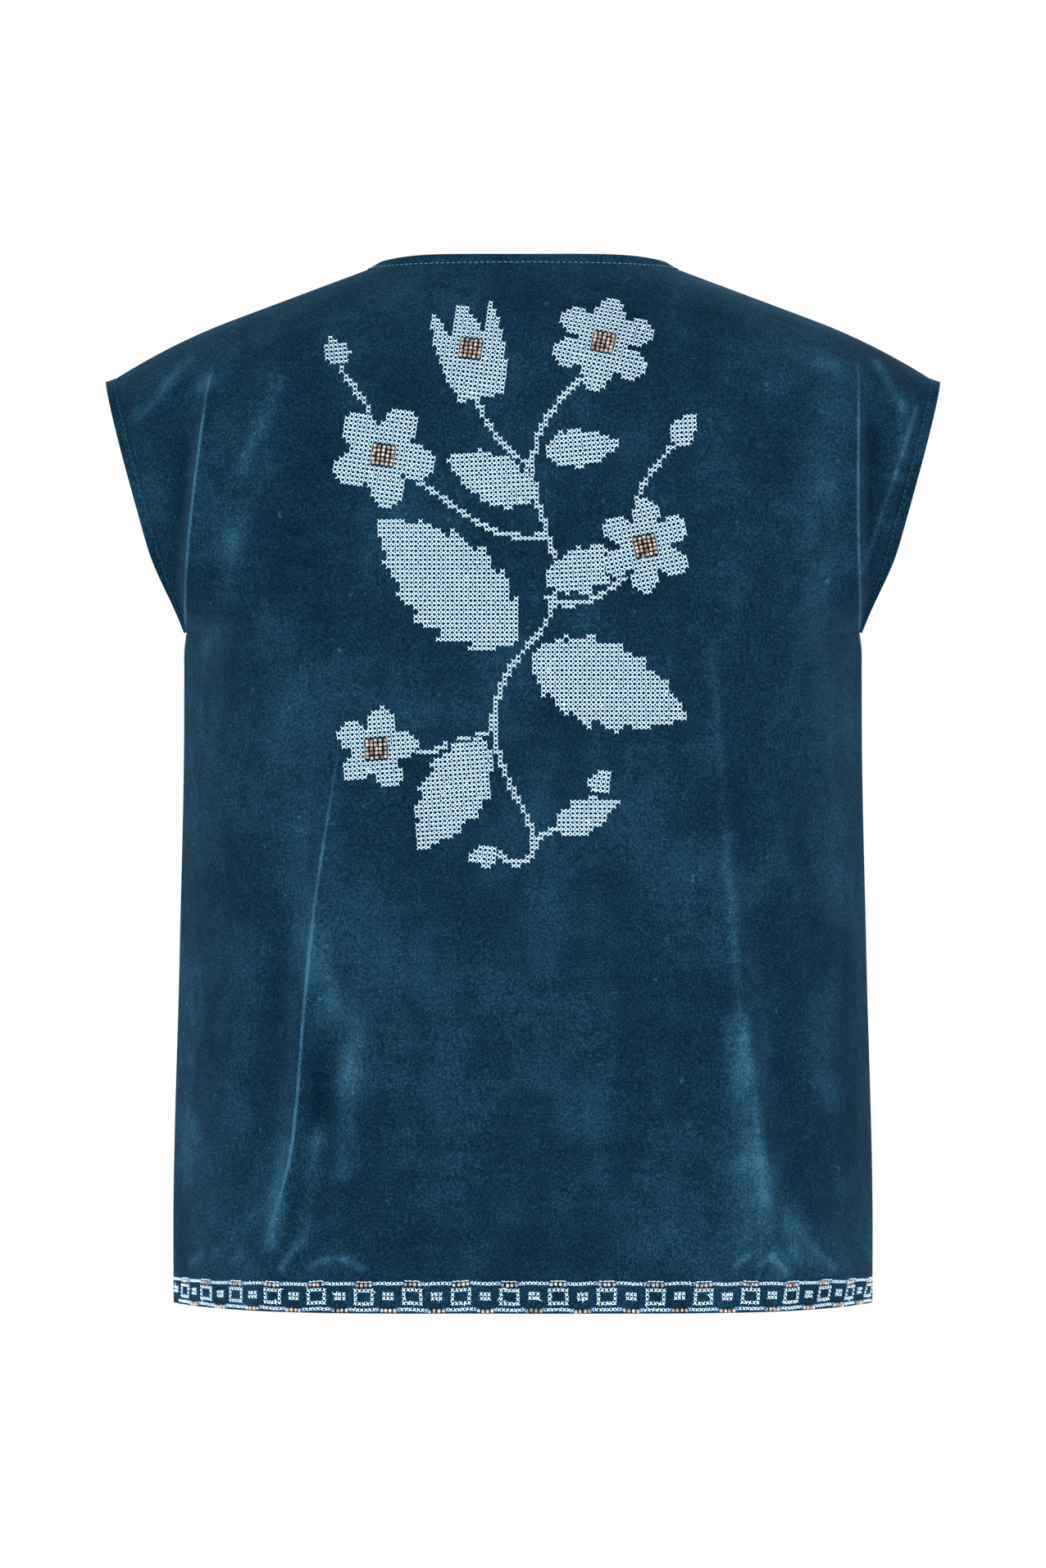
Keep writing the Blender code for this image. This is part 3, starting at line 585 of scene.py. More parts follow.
def waves(x, z, back):
    """Slow unevenness of hanging cloth: a sum of slanted sine waves, others on the fronts."""
    lean = 0.0 if back else FRONT_PHASE
    total = np.zeros_like(x)
    for wave in WAVES:
        turn = 2 * np.pi * (x / wave.across + z / wave.up)
        total += wave.height * np.sin(turn + wave.phase + lean)
    return total


def oblong(part):
    """Depth of a rounded oblong at a part of its half-width, as a share of its full depth."""
    return np.clip(1 - part**SIDE_FULLNESS, 0.0, 1.0) ** (1 / SIDE_ROUNDING)


def depth(x, z, back):
    """Distance of the cloth from the seam plane: a rounded oblong section, rolled over the shoulder.

    Close to the side the section is drawn to the real edge: the side seam, or the armhole's opening.
    """
    heights, widths, back_depths, front_depths = np.array(SECTIONS).T
    edge = half_width(z)
    body = np.maximum(smooth_through(z, heights, widths), edge + SEAM_GAP)
    full = smooth_through(z, heights, back_depths if back else front_depths)
    near_edge = smooth_step((np.abs(x) / edge - 1) / EDGE_SHARE + 1)
    section = full * oblong(np.abs(x) / body)
    section += (armhole_half_depth(z) - full * oblong(edge / body)) * near_edge
    over = over_shoulder(x, z)
    from_edge = smooth_step((edge - np.abs(x)) / FOLD_FADE)
    folds = fold_relief(x, z, BACK_FOLDS if back else FRONT_FOLDS) + waves(x, z, back)
    return SEAM_Y + section * over + folds * from_edge * over**2


def on_body(x, z, back, lift=0.0):
    """Points of the back or front cloth at the places (x, z), moved out by lift."""
    x, z = np.broadcast_arrays(x, z)
    y = depth(x, z, back) + lift * over_shoulder(x, z)
    return np.stack((x, -y if back else y, z), axis=-1)


def cloth_frame(x, z, back, lift=0.0):
    """Points of the cloth at (x, z), with unit directions across it, up it and out of it."""
    point = on_body(x, z, back, lift)
    across = unit(on_body(x + FRAME_STEP, z, back, lift) - on_body(x - FRAME_STEP, z, back, lift))
    up = on_body(x, z + FRAME_STEP, back, lift) - on_body(x, z - FRAME_STEP, back, lift)
    up = unit(up - np.sum(up * across, axis=-1, keepdims=True) * across)
    out = np.cross(across, up) * (1 if back else -1)
    return point, across, up, out


def crowded(t):
    """Column places from 0 to 1, closer together towards the side, where the folds are sharp."""
    return t * (1 + COLUMN_CROWDING) / (1 + COLUMN_CROWDING * t * t)


def across_section(share):
    """Part of the half-width at a share of the way round from the middle of the body to its side."""
    part = np.linspace(0.0, 1.0, SECTION_SAMPLES)
    _, widths, depths, _ = np.array(SECTIONS).T
    y = depths.mean() * (1 - part**SIDE_FULLNESS) ** (1 / SIDE_ROUNDING)
    steps = np.hypot(np.diff(part) * widths.mean(), np.diff(y))
    arc = np.concatenate(([0.0], np.cumsum(steps)))
    return np.interp(share, arc / arc[-1], part)


def body_heights():
    """Heights of the level rows from the foot of the panels to the underarm, closer together at both."""
    place = np.linspace(0.0, 1.0, BODY_ROWS + 1)
    crowded_place = place - ROW_CROWDING * np.sin(2 * np.pi * place) / (2 * np.pi)
    return PANEL_FOOT_Z + (UNDERARM_Z - PANEL_FOOT_Z) * crowded_place


def yoke_places():
    """Row places from the underarm (0) to the shoulder (1), closer together where the armhole is round."""
    return 0.5 - 0.5 * np.cos(np.linspace(0.0, np.pi, YOKE_ROWS + 1))


def neck_edge():
    """Places (x, z) of the level back neck edge between the neck points, evenly round its curve."""
    x = NECK_HALF_WIDTH * np.sin(np.linspace(-1.0, 1.0, 2 * NECK_COLUMNS + 1) * np.pi / 2)
    return x, np.full_like(x, NECK_POINT_Z)


def back_plan():
    """Places (x, z) of the back's grid: level rows to the underarm, then rows bent to the shoulder."""
    neck_share = np.linspace(-NECK_SHARE, NECK_SHARE, 2 * NECK_COLUMNS + 1)
    along = crowded(np.linspace(0.0, 1.0, SHOULDER_COLUMNS + 1)[1:])
    shoulder_share = NECK_SHARE + (1 - NECK_SHARE) * along
    share = np.concatenate((-shoulder_share[::-1], neck_share, shoulder_share))
    shoulder_x = NECK_HALF_WIDTH + (SHOULDER_TIP_X - NECK_HALF_WIDTH) * along
    neck_x, neck_z = neck_edge()
    top_x = np.concatenate((-shoulder_x[::-1], neck_x, shoulder_x))
    top_z = np.concatenate((ridge_z(shoulder_x)[::-1], neck_z, ridge_z(shoulder_x)))
    side = np.sign(share)
    body_z = body_heights()[:, None]
    body_x = half_width(body_z) * side * across_section(np.abs(share))
    rise = yoke_places()[1:, None]
    edge_x, edge_z = armhole_edge(rise)
    pull = np.abs(share) ** YOKE_BEND_POWER
    yoke_x = (1 - rise) * body_x[-1] + rise * top_x
    yoke_z = (1 - rise) * UNDERARM_Z + rise * top_z
    yoke_x = yoke_x + pull * side * (edge_x - (1 - rise) * UNDERARM_HALF_WIDTH - rise * SHOULDER_TIP_X)
    yoke_z = yoke_z + pull * (edge_z - (1 - rise) * UNDERARM_Z - rise * top_z[-1])
    body_z = np.broadcast_to(body_z, body_x.shape)
    return np.concatenate((body_x, yoke_x)), np.concatenate((body_z, yoke_z))


def v_edge(t):
    """Edge of the V neck, from the top of the straight front edge (0) to the neck point (1)."""
    foot = (FRONT_EDGE_X, UNDERARM_Z)
    neck_point = (NECK_HALF_WIDTH, NECK_POINT_Z)
    return bezier((foot, V_LOWER_BEND, V_UPPER_BEND, neck_point), t)


def front_plan(side):
    """Places (x, z) of a front's grid: level rows to the underarm, then rows between V and armhole."""
    share = crowded(np.linspace(0.0, 1.0, FRONT_COLUMNS + 1))
    part = across_section(share)
    body_z = body_heights()[:, None]
    body_x = FRONT_EDGE_X + (half_width(body_z) - FRONT_EDGE_X) * part
    rise = yoke_places()[1:, None]
    top_x = NECK_HALF_WIDTH + (SHOULDER_TIP_X - NECK_HALF_WIDTH) * share
    top_z = ridge_z(top_x)
    v_x, v_z = v_edge(rise)
    edge_x, edge_z = armhole_edge(rise)
    straight_x = (1 - rise) * body_x[-1] + rise * top_x
    straight_z = (1 - rise) * UNDERARM_Z + rise * top_z
    yoke_x = straight_x + (1 - share) * (v_x - straight_x[:, :1]) + share * (edge_x - straight_x[:, -1:])
    yoke_z = straight_z + (1 - share) * (v_z - straight_z[:, :1]) + share * (edge_z - straight_z[:, -1:])
    body_z = np.broadcast_to(body_z, body_x.shape)
    return side * np.concatenate((body_x, yoke_x)), np.concatenate((body_z, yoke_z))


def border_mask(shape, ring):
    """Which points of a grid lie on its open edges."""
    mask = np.zeros(shape, bool)
    mask[[0, -1]] = True
    if not ring:
        mask[:, [0, -1]] = True
    return mask


def wall_normals(outer, centre, level_rows, ring):
    """Outward unit normals of a grid, level where a row asks, and in the seam plane along a seam.

    Also says whether the grid's own turn already points outwards.
    """
    if ring:
        wrapped = np.concatenate((outer[:, -1:], outer, outer[:, :1]), axis=1)
        across = wrapped[:, 2:] - wrapped[:, :-2]
    else:
        across = np.gradient(outer, axis=1)
    up = np.gradient(outer, axis=0)
    normals = unit(np.cross(across, up))
    outward = np.sum(normals * (outer - np.array(centre))) > 0
    if not outward:
        normals = -normals
    on_seam = border_mask(outer.shape[:2], ring) & (np.abs(outer[..., 1]) < SEAM_LAP)
    level = normals * (1.0, 0.0, 1.0)
    away = (outer - np.array(centre)) * (1.0, 0.0, 1.0)
    level *= np.sign(np.sum(level * away, axis=-1, keepdims=True))
    steep = np.linalg.norm(level, axis=-1, keepdims=True) < SEAM_NORMAL_LEAST
    normals = np.where(on_seam[..., None], np.where(steep, away, level), normals)
    for row in level_rows:
        normals[row, :, 2] = 0.0
    return unit(normals), outward


def grid_faces(indices, ring):
    """Quads of a grid of point numbers, closed round on itself for a ring."""
    if ring:
        indices = np.concatenate((indices, indices[:, :1]), axis=1)
    corners = (indices[:-1, :-1], indices[:-1, 1:], indices[1:, 1:], indices[1:, :-1])
    return np.stack(corners, axis=-1).reshape(-1, 4)


def border_loops(indices, ring):
    """Point numbers along the open edges of a grid, in the turn of its faces: one loop, or two."""
    if ring:
        return [np.append(indices[0], indices[0, 0]), np.append(indices[-1], indices[-1, 0])[::-1]]
    loop = np.concatenate((indices[0], indices[1:, -1], indices[-1, -2::-1], indices[-2::-1, 0]))
    return [loop]


def rim_rows(points, radius, ring):
    """The grid with rows and columns added close to its open edges, where the cloth's edge is round."""
    for axis in (0,) if ring else (0, 1):
        points = np.moveaxis(points, axis, 0)
        first = np.linalg.norm(points[1] - points[0], axis=-1, keepdims=True)
        last = np.linalg.norm(points[-2] - points[-1], axis=-1, keepdims=True)
        first_share = np.minimum(radius / first, RIM_SHARE_OF_CELL / RIM_STEPS[-1])
        last_share = np.minimum(radius / last, RIM_SHARE_OF_CELL / RIM_STEPS[-1])
        near_first = [points[0] + (points[1] - points[0]) * step * first_share for step in RIM_STEPS]
        near_last = [points[-1] + (points[-2] - points[-1]) * step * last_share
                     for step in RIM_STEPS[::-1]]
        points = np.concatenate((points[:1], near_first, points[1:-1], near_last, points[-1:]))
        points = np.moveaxis(points, 0, axis)
    return points


def edge_distance(points, ring):
    """Distance of each grid point from the nearest open edge, measured along the grid's lines."""
    nearest = np.full(points.shape[:2], np.inf)
    for axis in (0,) if ring else (0, 1):
        lines = np.moveaxis(points, axis, 0)
        steps = np.linalg.norm(np.diff(lines, axis=0), axis=-1)
        along = np.concatenate((np.zeros((1, lines.shape[1])), np.cumsum(steps, axis=0)))
        from_edge = np.minimum(along, along[-1] - along)
        nearest = np.minimum(nearest, np.moveaxis(from_edge, 0, axis))
    return nearest


def new_piece(name, points, faces, materials, face_materials=None):
    """A mesh object at the origin from points and faces, shaded smooth."""
    mesh = bpy.data.meshes.new(name)
    mesh.from_pydata(points.reshape(-1, 3).tolist(), [], faces.tolist())
    for material in materials:
        mesh.materials.append(material)
    if face_materials is not None:
        mesh.polygons.foreach_set("material_index", face_materials.astype(np.int32))
    mesh.shade_smooth()
    mesh.update()
    piece = bpy.data.objects.new(name, mesh)
    bpy.context.scene.collection.objects.link(piece)
    return piece


def painted_light_strokes(points, strokes):
    """Painted highlight and shade at each point: soft strokes, each falling off with the distance from a
    line.
    """
    total = np.zeros(points.shape[:-1])
    for stroke in strokes:
        run = np.array((stroke.x1 - stroke.x0, stroke.z1 - stroke.z0))
        start = np.stack((points[..., 0] - stroke.x0, points[..., 2] - stroke.z0), axis=-1)
        share = np.clip(start @ run / (run @ run), 0.0, 1.0)
        away = np.linalg.norm(start - share[..., None] * run, axis=-1)
        total += stroke.strength * np.exp(-((away / stroke.reach) ** 2))
    return total


def nearest_crest(points, folds):
    """Distance of each point from the nearest sharp fold's crest, and that fold's share of a full rise."""
    nearest = np.full(points.shape[:-1], FAR_FROM_CREST)
    share = np.zeros(points.shape[:-1])
    for fold in filter(lambda fold: fold.sharp, folds):
        outward, rise = from_crest(points[..., 0], points[..., 2], fold)
        closer = (np.abs(outward) < np.abs(nearest)) & (rise > 0)
        nearest = np.where(closer, outward, nearest)
        share = np.where(closer, rise / FULL_RISE, share)
    return nearest, share


def add_number(piece, name, values):
    """Keeps a number at each of the mesh's points."""
    attribute = piece.data.attributes.new(name, "FLOAT", "POINT")
    attribute.data.foreach_set("value", values.astype(np.float32).ravel())


def cloth_wall(name, outer, thickness, materials, centre=BODY_CENTRE, level_rows=(), ring=False,
               strokes=(), folds=()):
    """Closed wall of cloth with rounded edges.

    The outer grid and the same grid moved in by the thickness; within the rounding's radius of an open
    edge both draw together along a quarter circle, and a narrow rim joins them.
    """
    radius = RIM_ROUNDING * thickness
    outer = rim_rows(outer, radius, ring)
    normals, outward = wall_normals(outer, centre, level_rows, ring)
    from_edge = np.clip(1 - edge_distance(outer, ring) / radius, 0.0, 1.0)
    drawn = (radius * (1 - np.sqrt(1 - from_edge**2)))[..., None] * normals
    inner = outer - thickness * normals + drawn
    outer = outer - drawn
    count = outer.shape[0] * outer.shape[1]
    outside = np.arange(count).reshape(outer.shape[:2])
    quads = grid_faces(outside, ring)
    faces = [quads, quads[:, ::-1] + count]
    for loop in border_loops(outside, ring):
        faces.append(np.stack((loop[1:], loop[:-1], loop[:-1] + count, loop[1:] + count), axis=-1))
    is_inner = np.repeat((0, 1, 0), (len(quads), len(quads), sum(map(len, faces[2:]))))
    faces = np.concatenate(faces)
    if not outward:
        faces = faces[:, ::-1]
    points = np.concatenate((outer.reshape(-1, 3), inner.reshape(-1, 3)))
    piece = new_piece(name, points, faces, materials, is_inner)
    # Painted light: the strokes' painted highlight and shade, and the distance from sharp crests for the
    # painted crest highlight
    crest, share = nearest_crest(points, folds)
    add_number(piece, "painted_light", painted_light_strokes(points, strokes))
    add_number(piece, "crest", crest)
    add_number(piece, "crest_share", share)
    return piece


def back_cloth(materials):
    """Back, cut in one with its cap shoulders, from side seam to side seam."""
    x, z = back_plan()
    outer = on_body(x, z, back=True)
    return cloth_wall("back_cloth", outer, VELVET, materials, level_rows=(0,), strokes=BACK_PAINTED_LIGHT,
                      folds=BACK_FOLDS)


def front_cloth(wearer_side, side, materials):
    """One front, from its straight edge and V neck to the side seam."""
    x, z = front_plan(side)
    outer = on_body(x, z, back=False)
    return cloth_wall("front_cloth_" + wearer_side, outer, VELVET, materials, level_rows=(0,),
                      strokes=FRONT_PAINTED_LIGHT, folds=FRONT_FOLDS)


def hem_strip(name, plan_x, back, materials):
    """Band below a panel, with the panel's own column places, folded double."""
    z = np.linspace(HEM_Z, HEM_Z + HEM_BAND_HEIGHT, HEM_BAND_CELLS + 1)[:, None]
    x = plan_x[0] / half_width(PANEL_FOOT_Z) * half_width(z)
    outer = on_body(x, np.broadcast_to(z, x.shape), back, lift=HEM_BAND_STANDS_OUT)
    at_side = np.abs(plan_x[0]) >= half_width(PANEL_FOOT_Z) - SAME_PLACE
    outer[:, at_side, 1] = -SEAM_Y if back else SEAM_Y
    return cloth_wall(name, outer, BAND_CLOTH, materials, level_rows=(0, -1))


def neck_band_edge():
    """Foot of the standing neck band and the direction in which it stands at each place."""
    x, z = neck_edge()
    edge = on_body(x, z, back=True)
    to_shoulder = (x / NECK_HALF_WIDTH) ** 2
    aim_x = np.sign(x) * NECK_BAND_LEAN_AT_SHOULDER[0] * to_shoulder
    aim_y = NECK_BAND_LEAN[0] * (1 - to_shoulder)
    aim_z = NECK_BAND_LEAN[1] + (NECK_BAND_LEAN_AT_SHOULDER[1] - NECK_BAND_LEAN[1]) * to_shoulder
    aim = unit(np.stack((aim_x, aim_y, aim_z), axis=-1))
    width = NECK_BAND_WIDTH + (NECK_BAND_WIDTH_AT_SHOULDER - NECK_BAND_WIDTH) * to_shoulder
    return edge, aim, width


def neck_band(materials):
    """Standing band along the back neck, leaning in at the middle and along the shoulder at its ends."""
    edge, aim, width = neck_band_edge()
    reach = np.linspace(-SEAM_LAP, SEAM_GAP + width, BAND_CELLS + 1)
    outer = edge + reach[..., None] * aim
    return cloth_wall("neck_band", outer, BAND_CLOTH, materials, centre=NECK_CENTRE)


def front_band_edge():
    """Foot of a front band from the hem to the shoulder seam, its direction in plan and its width."""
    straight_z = np.append(HEM_Z, body_heights()[:-1])
    v_x, v_z = v_edge(yoke_places())
    x = np.concatenate((np.full_like(straight_z, FRONT_EDGE_X), v_x))
    z = np.concatenate((straight_z, v_z))
    along = unit(np.stack((np.gradient(x), np.gradient(z)), axis=-1))
    inward = np.stack((-along[:, 1], along[:, 0]), axis=-1)
    at_top = smooth_step((z - FRONT_BAND_TURN_Z) / (NECK_POINT_Z - FRONT_BAND_TURN_Z))
    inward = unit(inward + at_top[:, None] * (np.array(NECK_BAND_LEAN_AT_SHOULDER) - inward))
    width = FRONT_BAND_WIDTH + (NECK_BAND_WIDTH_AT_SHOULDER - FRONT_BAND_WIDTH) * at_top
    return x, z, inward, width


def front_band(wearer_side, side, materials):
    """Band along the straight front edge and the V neck, up to the shoulder seam."""
    x, z, inward, width = front_band_edge()
    reach = np.linspace(-SEAM_LAP, SEAM_GAP + width, BAND_CELLS + 1)
    band_x = x + reach * inward[:, 0]
    band_z = z + reach * inward[:, 1]
    outer = on_body(side * band_x, band_z, back=False)
    outer[:, -1, 1] = SEAM_Y
    return cloth_wall("front_band_cloth_" + wearer_side, outer, BAND_CLOTH, materials)


def armhole_ring(side, reach):
    """Points round an armhole: the panels' edges, moved out towards the arm by each reach, less below."""
    x, z = armhole_edge(yoke_places())
    y = armhole_half_depth(z) * over_shoulder(x, z)
    ring_x = np.concatenate((x, x[-2:0:-1]))
    ring_z = np.concatenate((z, z[-2:0:-1]))
    ring_y = np.concatenate((-y, y[-2:0:-1]))
    up = (ring_z - UNDERARM_Z) / (z[-1] - UNDERARM_Z)
    aim_x, aim_z = (np.interp(up, (0.0, 1.0), pair)
                    for pair in zip(ARMHOLE_BAND_AIM_AT_UNDERARM, ARMHOLE_BAND_AIM_AT_TIP))
    full = smooth_step(up / ARMHOLE_BAND_FULL_FROM)
    reach = reach * (ARMHOLE_BAND_LEAST + (1 - ARMHOLE_BAND_LEAST) * full)
    band_x = side * (ring_x + reach * aim_x)
    band_z = ring_z + reach * aim_z
    return np.stack((band_x, np.broadcast_to(ring_y, band_x.shape), band_z), axis=-1)


def armhole_band(wearer_side, side, materials):
    """Short tube of cloth round an armhole."""
    reach = np.linspace(-SEAM_LAP, SEAM_GAP + ARMHOLE_BAND_WIDTH, BAND_CELLS + 1)[:, None]
    outer = armhole_ring(side, reach)
    name = "armhole_cloth_" + wearer_side
    return cloth_wall(name, outer, BAND_CLOTH, materials, centre=outer.mean(axis=(0, 1)), ring=True)


def thread_mesh(name, paths, out, width, thickness, material):
    """Threads as one mesh: each path's points carry a flattened section, closed by its two end faces.

    The section lies across the path and the outward direction; paths is (threads, points, 3).
    """
    threads, stops = paths.shape[:2]
    along = unit(np.gradient(paths, axis=1))
    across = unit(np.cross(out, along))
    rise = np.cross(along, across)
    turn = np.arange(THREAD_SIDES) * 2 * np.pi / THREAD_SIDES
    sideways = np.cos(turn)[:, None] * across[:, :, None, :] * width / 2
    upward = np.sin(turn)[:, None] * rise[:, :, None, :] * thickness / 2
    points = paths[:, :, None, :] + sideways + upward
    ring = np.arange(threads * stops * THREAD_SIDES).reshape(threads, stops, THREAD_SIDES)
    next_side = np.roll(ring, -1, axis=2)
    corners = (ring[:, :-1], next_side[:, :-1], next_side[:, 1:], ring[:, 1:])
    walls = np.stack(corners, axis=-1).reshape(-1, 4)
    ends = np.concatenate((ring[:, 0, ::-1], ring[:, -1]))
    piece = new_piece(name, points, np.concatenate((walls, ends)), (material,))
    add_thread_uv(piece, threads, stops)
    return piece


def add_thread_uv(piece, threads, stops):
    """UV of threads: along each one in its first number, round it in the second."""
    around, along = np.meshgrid(np.arange(THREAD_SIDES), np.arange(stops - 1))
    u = np.stack((along, along, along + 1, along + 1), axis=-1) / (stops - 1)
    v = np.stack((around, around + 1, around + 1, around), axis=-1) / THREAD_SIDES
    walls = np.tile(np.stack((u, v), axis=-1).reshape(-1, 2), (threads, 1))
    ends = np.zeros((2 * threads * THREAD_SIDES, 2))
    uv = piece.data.uv_layers.new(name="thread")
    uv.data.foreach_set("uv", np.concatenate((walls, ends)).astype(np.float32).ravel())


def cross_paths(point, across, up, out, half, heights, rng):
    """The two threads of each cross, the second laid over the first, as arches between the corners."""
    place = np.array(CROSS_PLACES)[:, None]
    level = np.array(heights)[:, None]
    arch = np.array(CROSS_ARCH)[:, None]
    both = []
    for diagonal, extra in ((1, 0.0), (-1, UPPER_THREAD_RISE)):
        loose = rng.normal(0.0, CROSS_SPREAD, (4, len(point), 1, 1))
        wide = half[:, None, :1] * (1 + loose[0])
        tall = half[:, None, 1:] * (1 + loose[1])
        height = CROSS_SINK + (CROSS_RISE * (1 + 2 * loose[2]) + extra) * arch
        shift = CROSS_SHIFT * loose[3] / CROSS_SPREAD
        path = point[:, None] + across[:, None] * (place * wide + shift)
        path = path + up[:, None] * level * diagonal * tall + out[:, None] * height
        both.append(path)
    return np.concatenate(both), np.concatenate((out, out))[:, None]


def loose_ends(point, across, up, out, rng):
    """A short thread end lying loose on the cloth from each point, bent to one side."""
    part = np.linspace(0.0, 1.0, len(CROSS_PLACES))[:, None]
    each = (len(point), 1, 1)
    turn = rng.uniform(0.0, 2 * np.pi, each) + part * rng.normal(0.0, END_BEND, each)
    length = END_LENGTH * rng.uniform(*END_LENGTH_RANGE, each) * part
    path = point[:, None] + across[:, None] * length * np.cos(turn) + up[:, None] * length * np.sin(turn)
    return path + out[:, None] * (CROSS_SINK + END_RISE * bell(part)), out[:, None]


def cross_stitch(name, x, z, back, tilt, cell, material, lift=0.0, seed=1, ends=(),
                 heights=CROSS_PLACES):
    """Crosses centred on the cloth at (x, z), each turned by its tilt, with cells of the given size.

    ends lists the crosses beside which a loose thread end lies. heights are the threads' heights on
    their way across: even, or flatter at the middle where they are pulled tight.
    """
    rng = np.random.default_rng(seed)
    point, across, up, out = cloth_frame(x, z, back, lift)
    c, s = np.cos(tilt)[:, None], np.sin(tilt)[:, None]
    turned_across = across * c + up * s
    turned_up = up * c - across * s
    half = np.broadcast_to(np.atleast_2d(cell), (len(x), 2)) / 2
    paths, normals = cross_paths(point, turned_across, turned_up, out, half, heights, rng)
    ends = np.asarray(ends, int)
    end_paths, end_normals = loose_ends(point[ends], across[ends], up[ends], out[ends], rng)
    paths = np.concatenate((paths, end_paths))
    normals = np.concatenate((normals, end_normals))
    return thread_mesh(name, paths, normals, THREAD_WIDTH, THREAD_THICKNESS, material)


# The spray's shapes. Widths and reaches are shares of a shape's size, and the powers set how full it is.
PETAL_REACH = (0.48, 0.52)
PETAL_POWER = 0.75
TULIP_WIDTH = 0.66
TULIP_SWELL = (0.12, 0.62)
TULIP_TOP = (0.28, 0.72)
TULIP_TOP_WIDTH = 1.3
LEAF_WIDTH = 0.25
LEAF_POWERS = (0.85, 0.8)
LEAF_SAW = (0.86, 0.28)
BUD_WIDTH = 0.36
BUD_POWER = 0.7


# Every shape is tested in its own frame, u to its right and v towards its tip
def flower(u, v, size, petals):
    """Round petals: the reach swings between half and all of the size as the angle goes round."""
    lobes = np.abs(np.cos(petals * np.arctan2(u, v) / 2)) ** PETAL_POWER
    return np.hypot(u, v) < size * (PETAL_REACH[0] + PETAL_REACH[1] * lobes)


def tulip(u, v, size, points):
    """A cup that swells from its foot and ends in a few points."""
    t = (v / size + 1) / 2
    swell = np.sin(np.pi * np.clip(TULIP_SWELL[0] + TULIP_SWELL[1] * t, 0.0, 1.0))
    half = size * TULIP_WIDTH * np.sqrt(np.clip(swell, 0.0, 1.0))
    wave = np.abs(np.cos(np.pi * u * (points - 1) / (TULIP_TOP_WIDTH * size)))
    top = size * (TULIP_TOP[0] + TULIP_TOP[1] * wave)
    return (np.abs(u) < half) & (v < top) & (t > 0)


def leaf(u, v, size, teeth):
    """A pointed oval from its foot at v = 0 to its tip, with saw teeth along both edges."""
    t = v / size
    oval = np.clip(np.sin(np.pi * np.clip(t, 0.0, 1.0) ** LEAF_POWERS[0]), 0.0, 1.0) ** LEAF_POWERS[1]
    saw = LEAF_SAW[0] + LEAF_SAW[1] * (teeth * t % 1)
    return np.abs(u) < LEAF_WIDTH * size * oval * saw


def bud(u, v, size, _):
    """A small drop, round at its foot and pointed at its tip."""
    t = v / size
    drop = np.clip(np.sin(np.pi * np.clip(t, 0.0, 1.0) ** BUD_POWER), 0.0, 1.0)
    return np.abs(u) < BUD_WIDTH * size * drop


# Each shape's centre (or foot) across from the middle and down from the neck seam along the cloth, its
# size, its turn clockwise from upright, the tilt of its stitches and its petals, points or teeth
Motif = namedtuple("Motif", "shape x down size turn tilt parts")
BLOOMS = (flower, tulip)
SPRAY = (
    Motif(flower, 0.046, 0.058, 0.030, 12, -12, 6),
    Motif(flower, -0.080, 0.124, 0.030, 30, -8, 5),
    Motif(flower, 0.070, 0.176, 0.027, 0, 11, 6),
    Motif(tulip, -0.030, 0.062, 0.030, -12, -7, 3),
    Motif(flower, -0.084, 0.292, 0.024, 10, 4, 5),
    Motif(leaf, -0.004, 0.232, 0.106, -48, 0, 6),
    Motif(leaf, 0.004, 0.238, 0.096, 112, 0, 6),
    Motif(leaf, -0.022, 0.286, 0.074, 210, 4, 5),
    Motif(leaf, 0.012, 0.196, 0.052, 74, 3, 4),
    Motif(leaf, 0.008, 0.148, 0.056, -66, 3, 4),
    Motif(leaf, 0.012, 0.122, 0.044, 84, 5, 4),
    Motif(bud, 0.086, 0.118, 0.022, 34, 4, 0),
    Motif(bud, -0.104, 0.072, 0.020, -20, 5, 0),
    Motif(leaf, 0.018, 0.338, 0.040, 66, 0, 4),
    Motif(bud, 0.040, 0.318, 0.018, 30, -6, 0),
    Motif(bud, -0.014, 0.352, 0.018, 262, -6, 0),
)
# Each stem is pulled by a few corners (across, down)
STEMS = (
    ((0.004, 0.354), (0.020, 0.330), (-0.050, 0.290), (0.004, 0.232)),
    ((0.004, 0.232), (0.052, 0.180), (-0.036, 0.140), (0.034, 0.080)),
    ((0.006, 0.132), (-0.010, 0.120), (-0.020, 0.110), (-0.026, 0.094)),
    ((0.012, 0.170), (-0.020, 0.176), (-0.040, 0.150), (-0.062, 0.138)),
    ((0.014, 0.206), (0.030, 0.214), (0.044, 0.206), (0.058, 0.194)),
    ((0.066, 0.150), (0.068, 0.138), (0.078, 0.128), (0.088, 0.116)),
    ((-0.088, 0.098), (-0.092, 0.090), (-0.100, 0.082), (-0.104, 0.074)),
    ((-0.022, 0.284), (-0.040, 0.286), (-0.050, 0.296), (-0.066, 0.294)),
    ((0.006, 0.346), (0.012, 0.340), (0.016, 0.340), (0.020, 0.336)),
    ((0.030, 0.330), (0.034, 0.326), (0.038, 0.322), (0.042, 0.318)),
    ((0.004, 0.354), (-0.002, 0.360), (-0.008, 0.358), (-0.014, 0.352)),
)
STEM_HALF_WIDTH = 0.62 * CROSS_PITCH
STEM_SAMPLES = 240
STEM_STRETCH = 40
SPRAY_REACH = 0.40
MOTIF_REACH = 1.05


def down_to_z(down):
    """Height of the cloth at a length down the middle of the back from the neck seam."""
    z = np.linspace(NECK_POINT_Z, HEM_Z, DOWN_SAMPLES)
    points = on_body(np.zeros_like(z), z, back=True)
    along = np.concatenate(([0.0], np.cumsum(np.linalg.norm(np.diff(points, axis=0), axis=-1))))
    return np.interp(down, along, z)


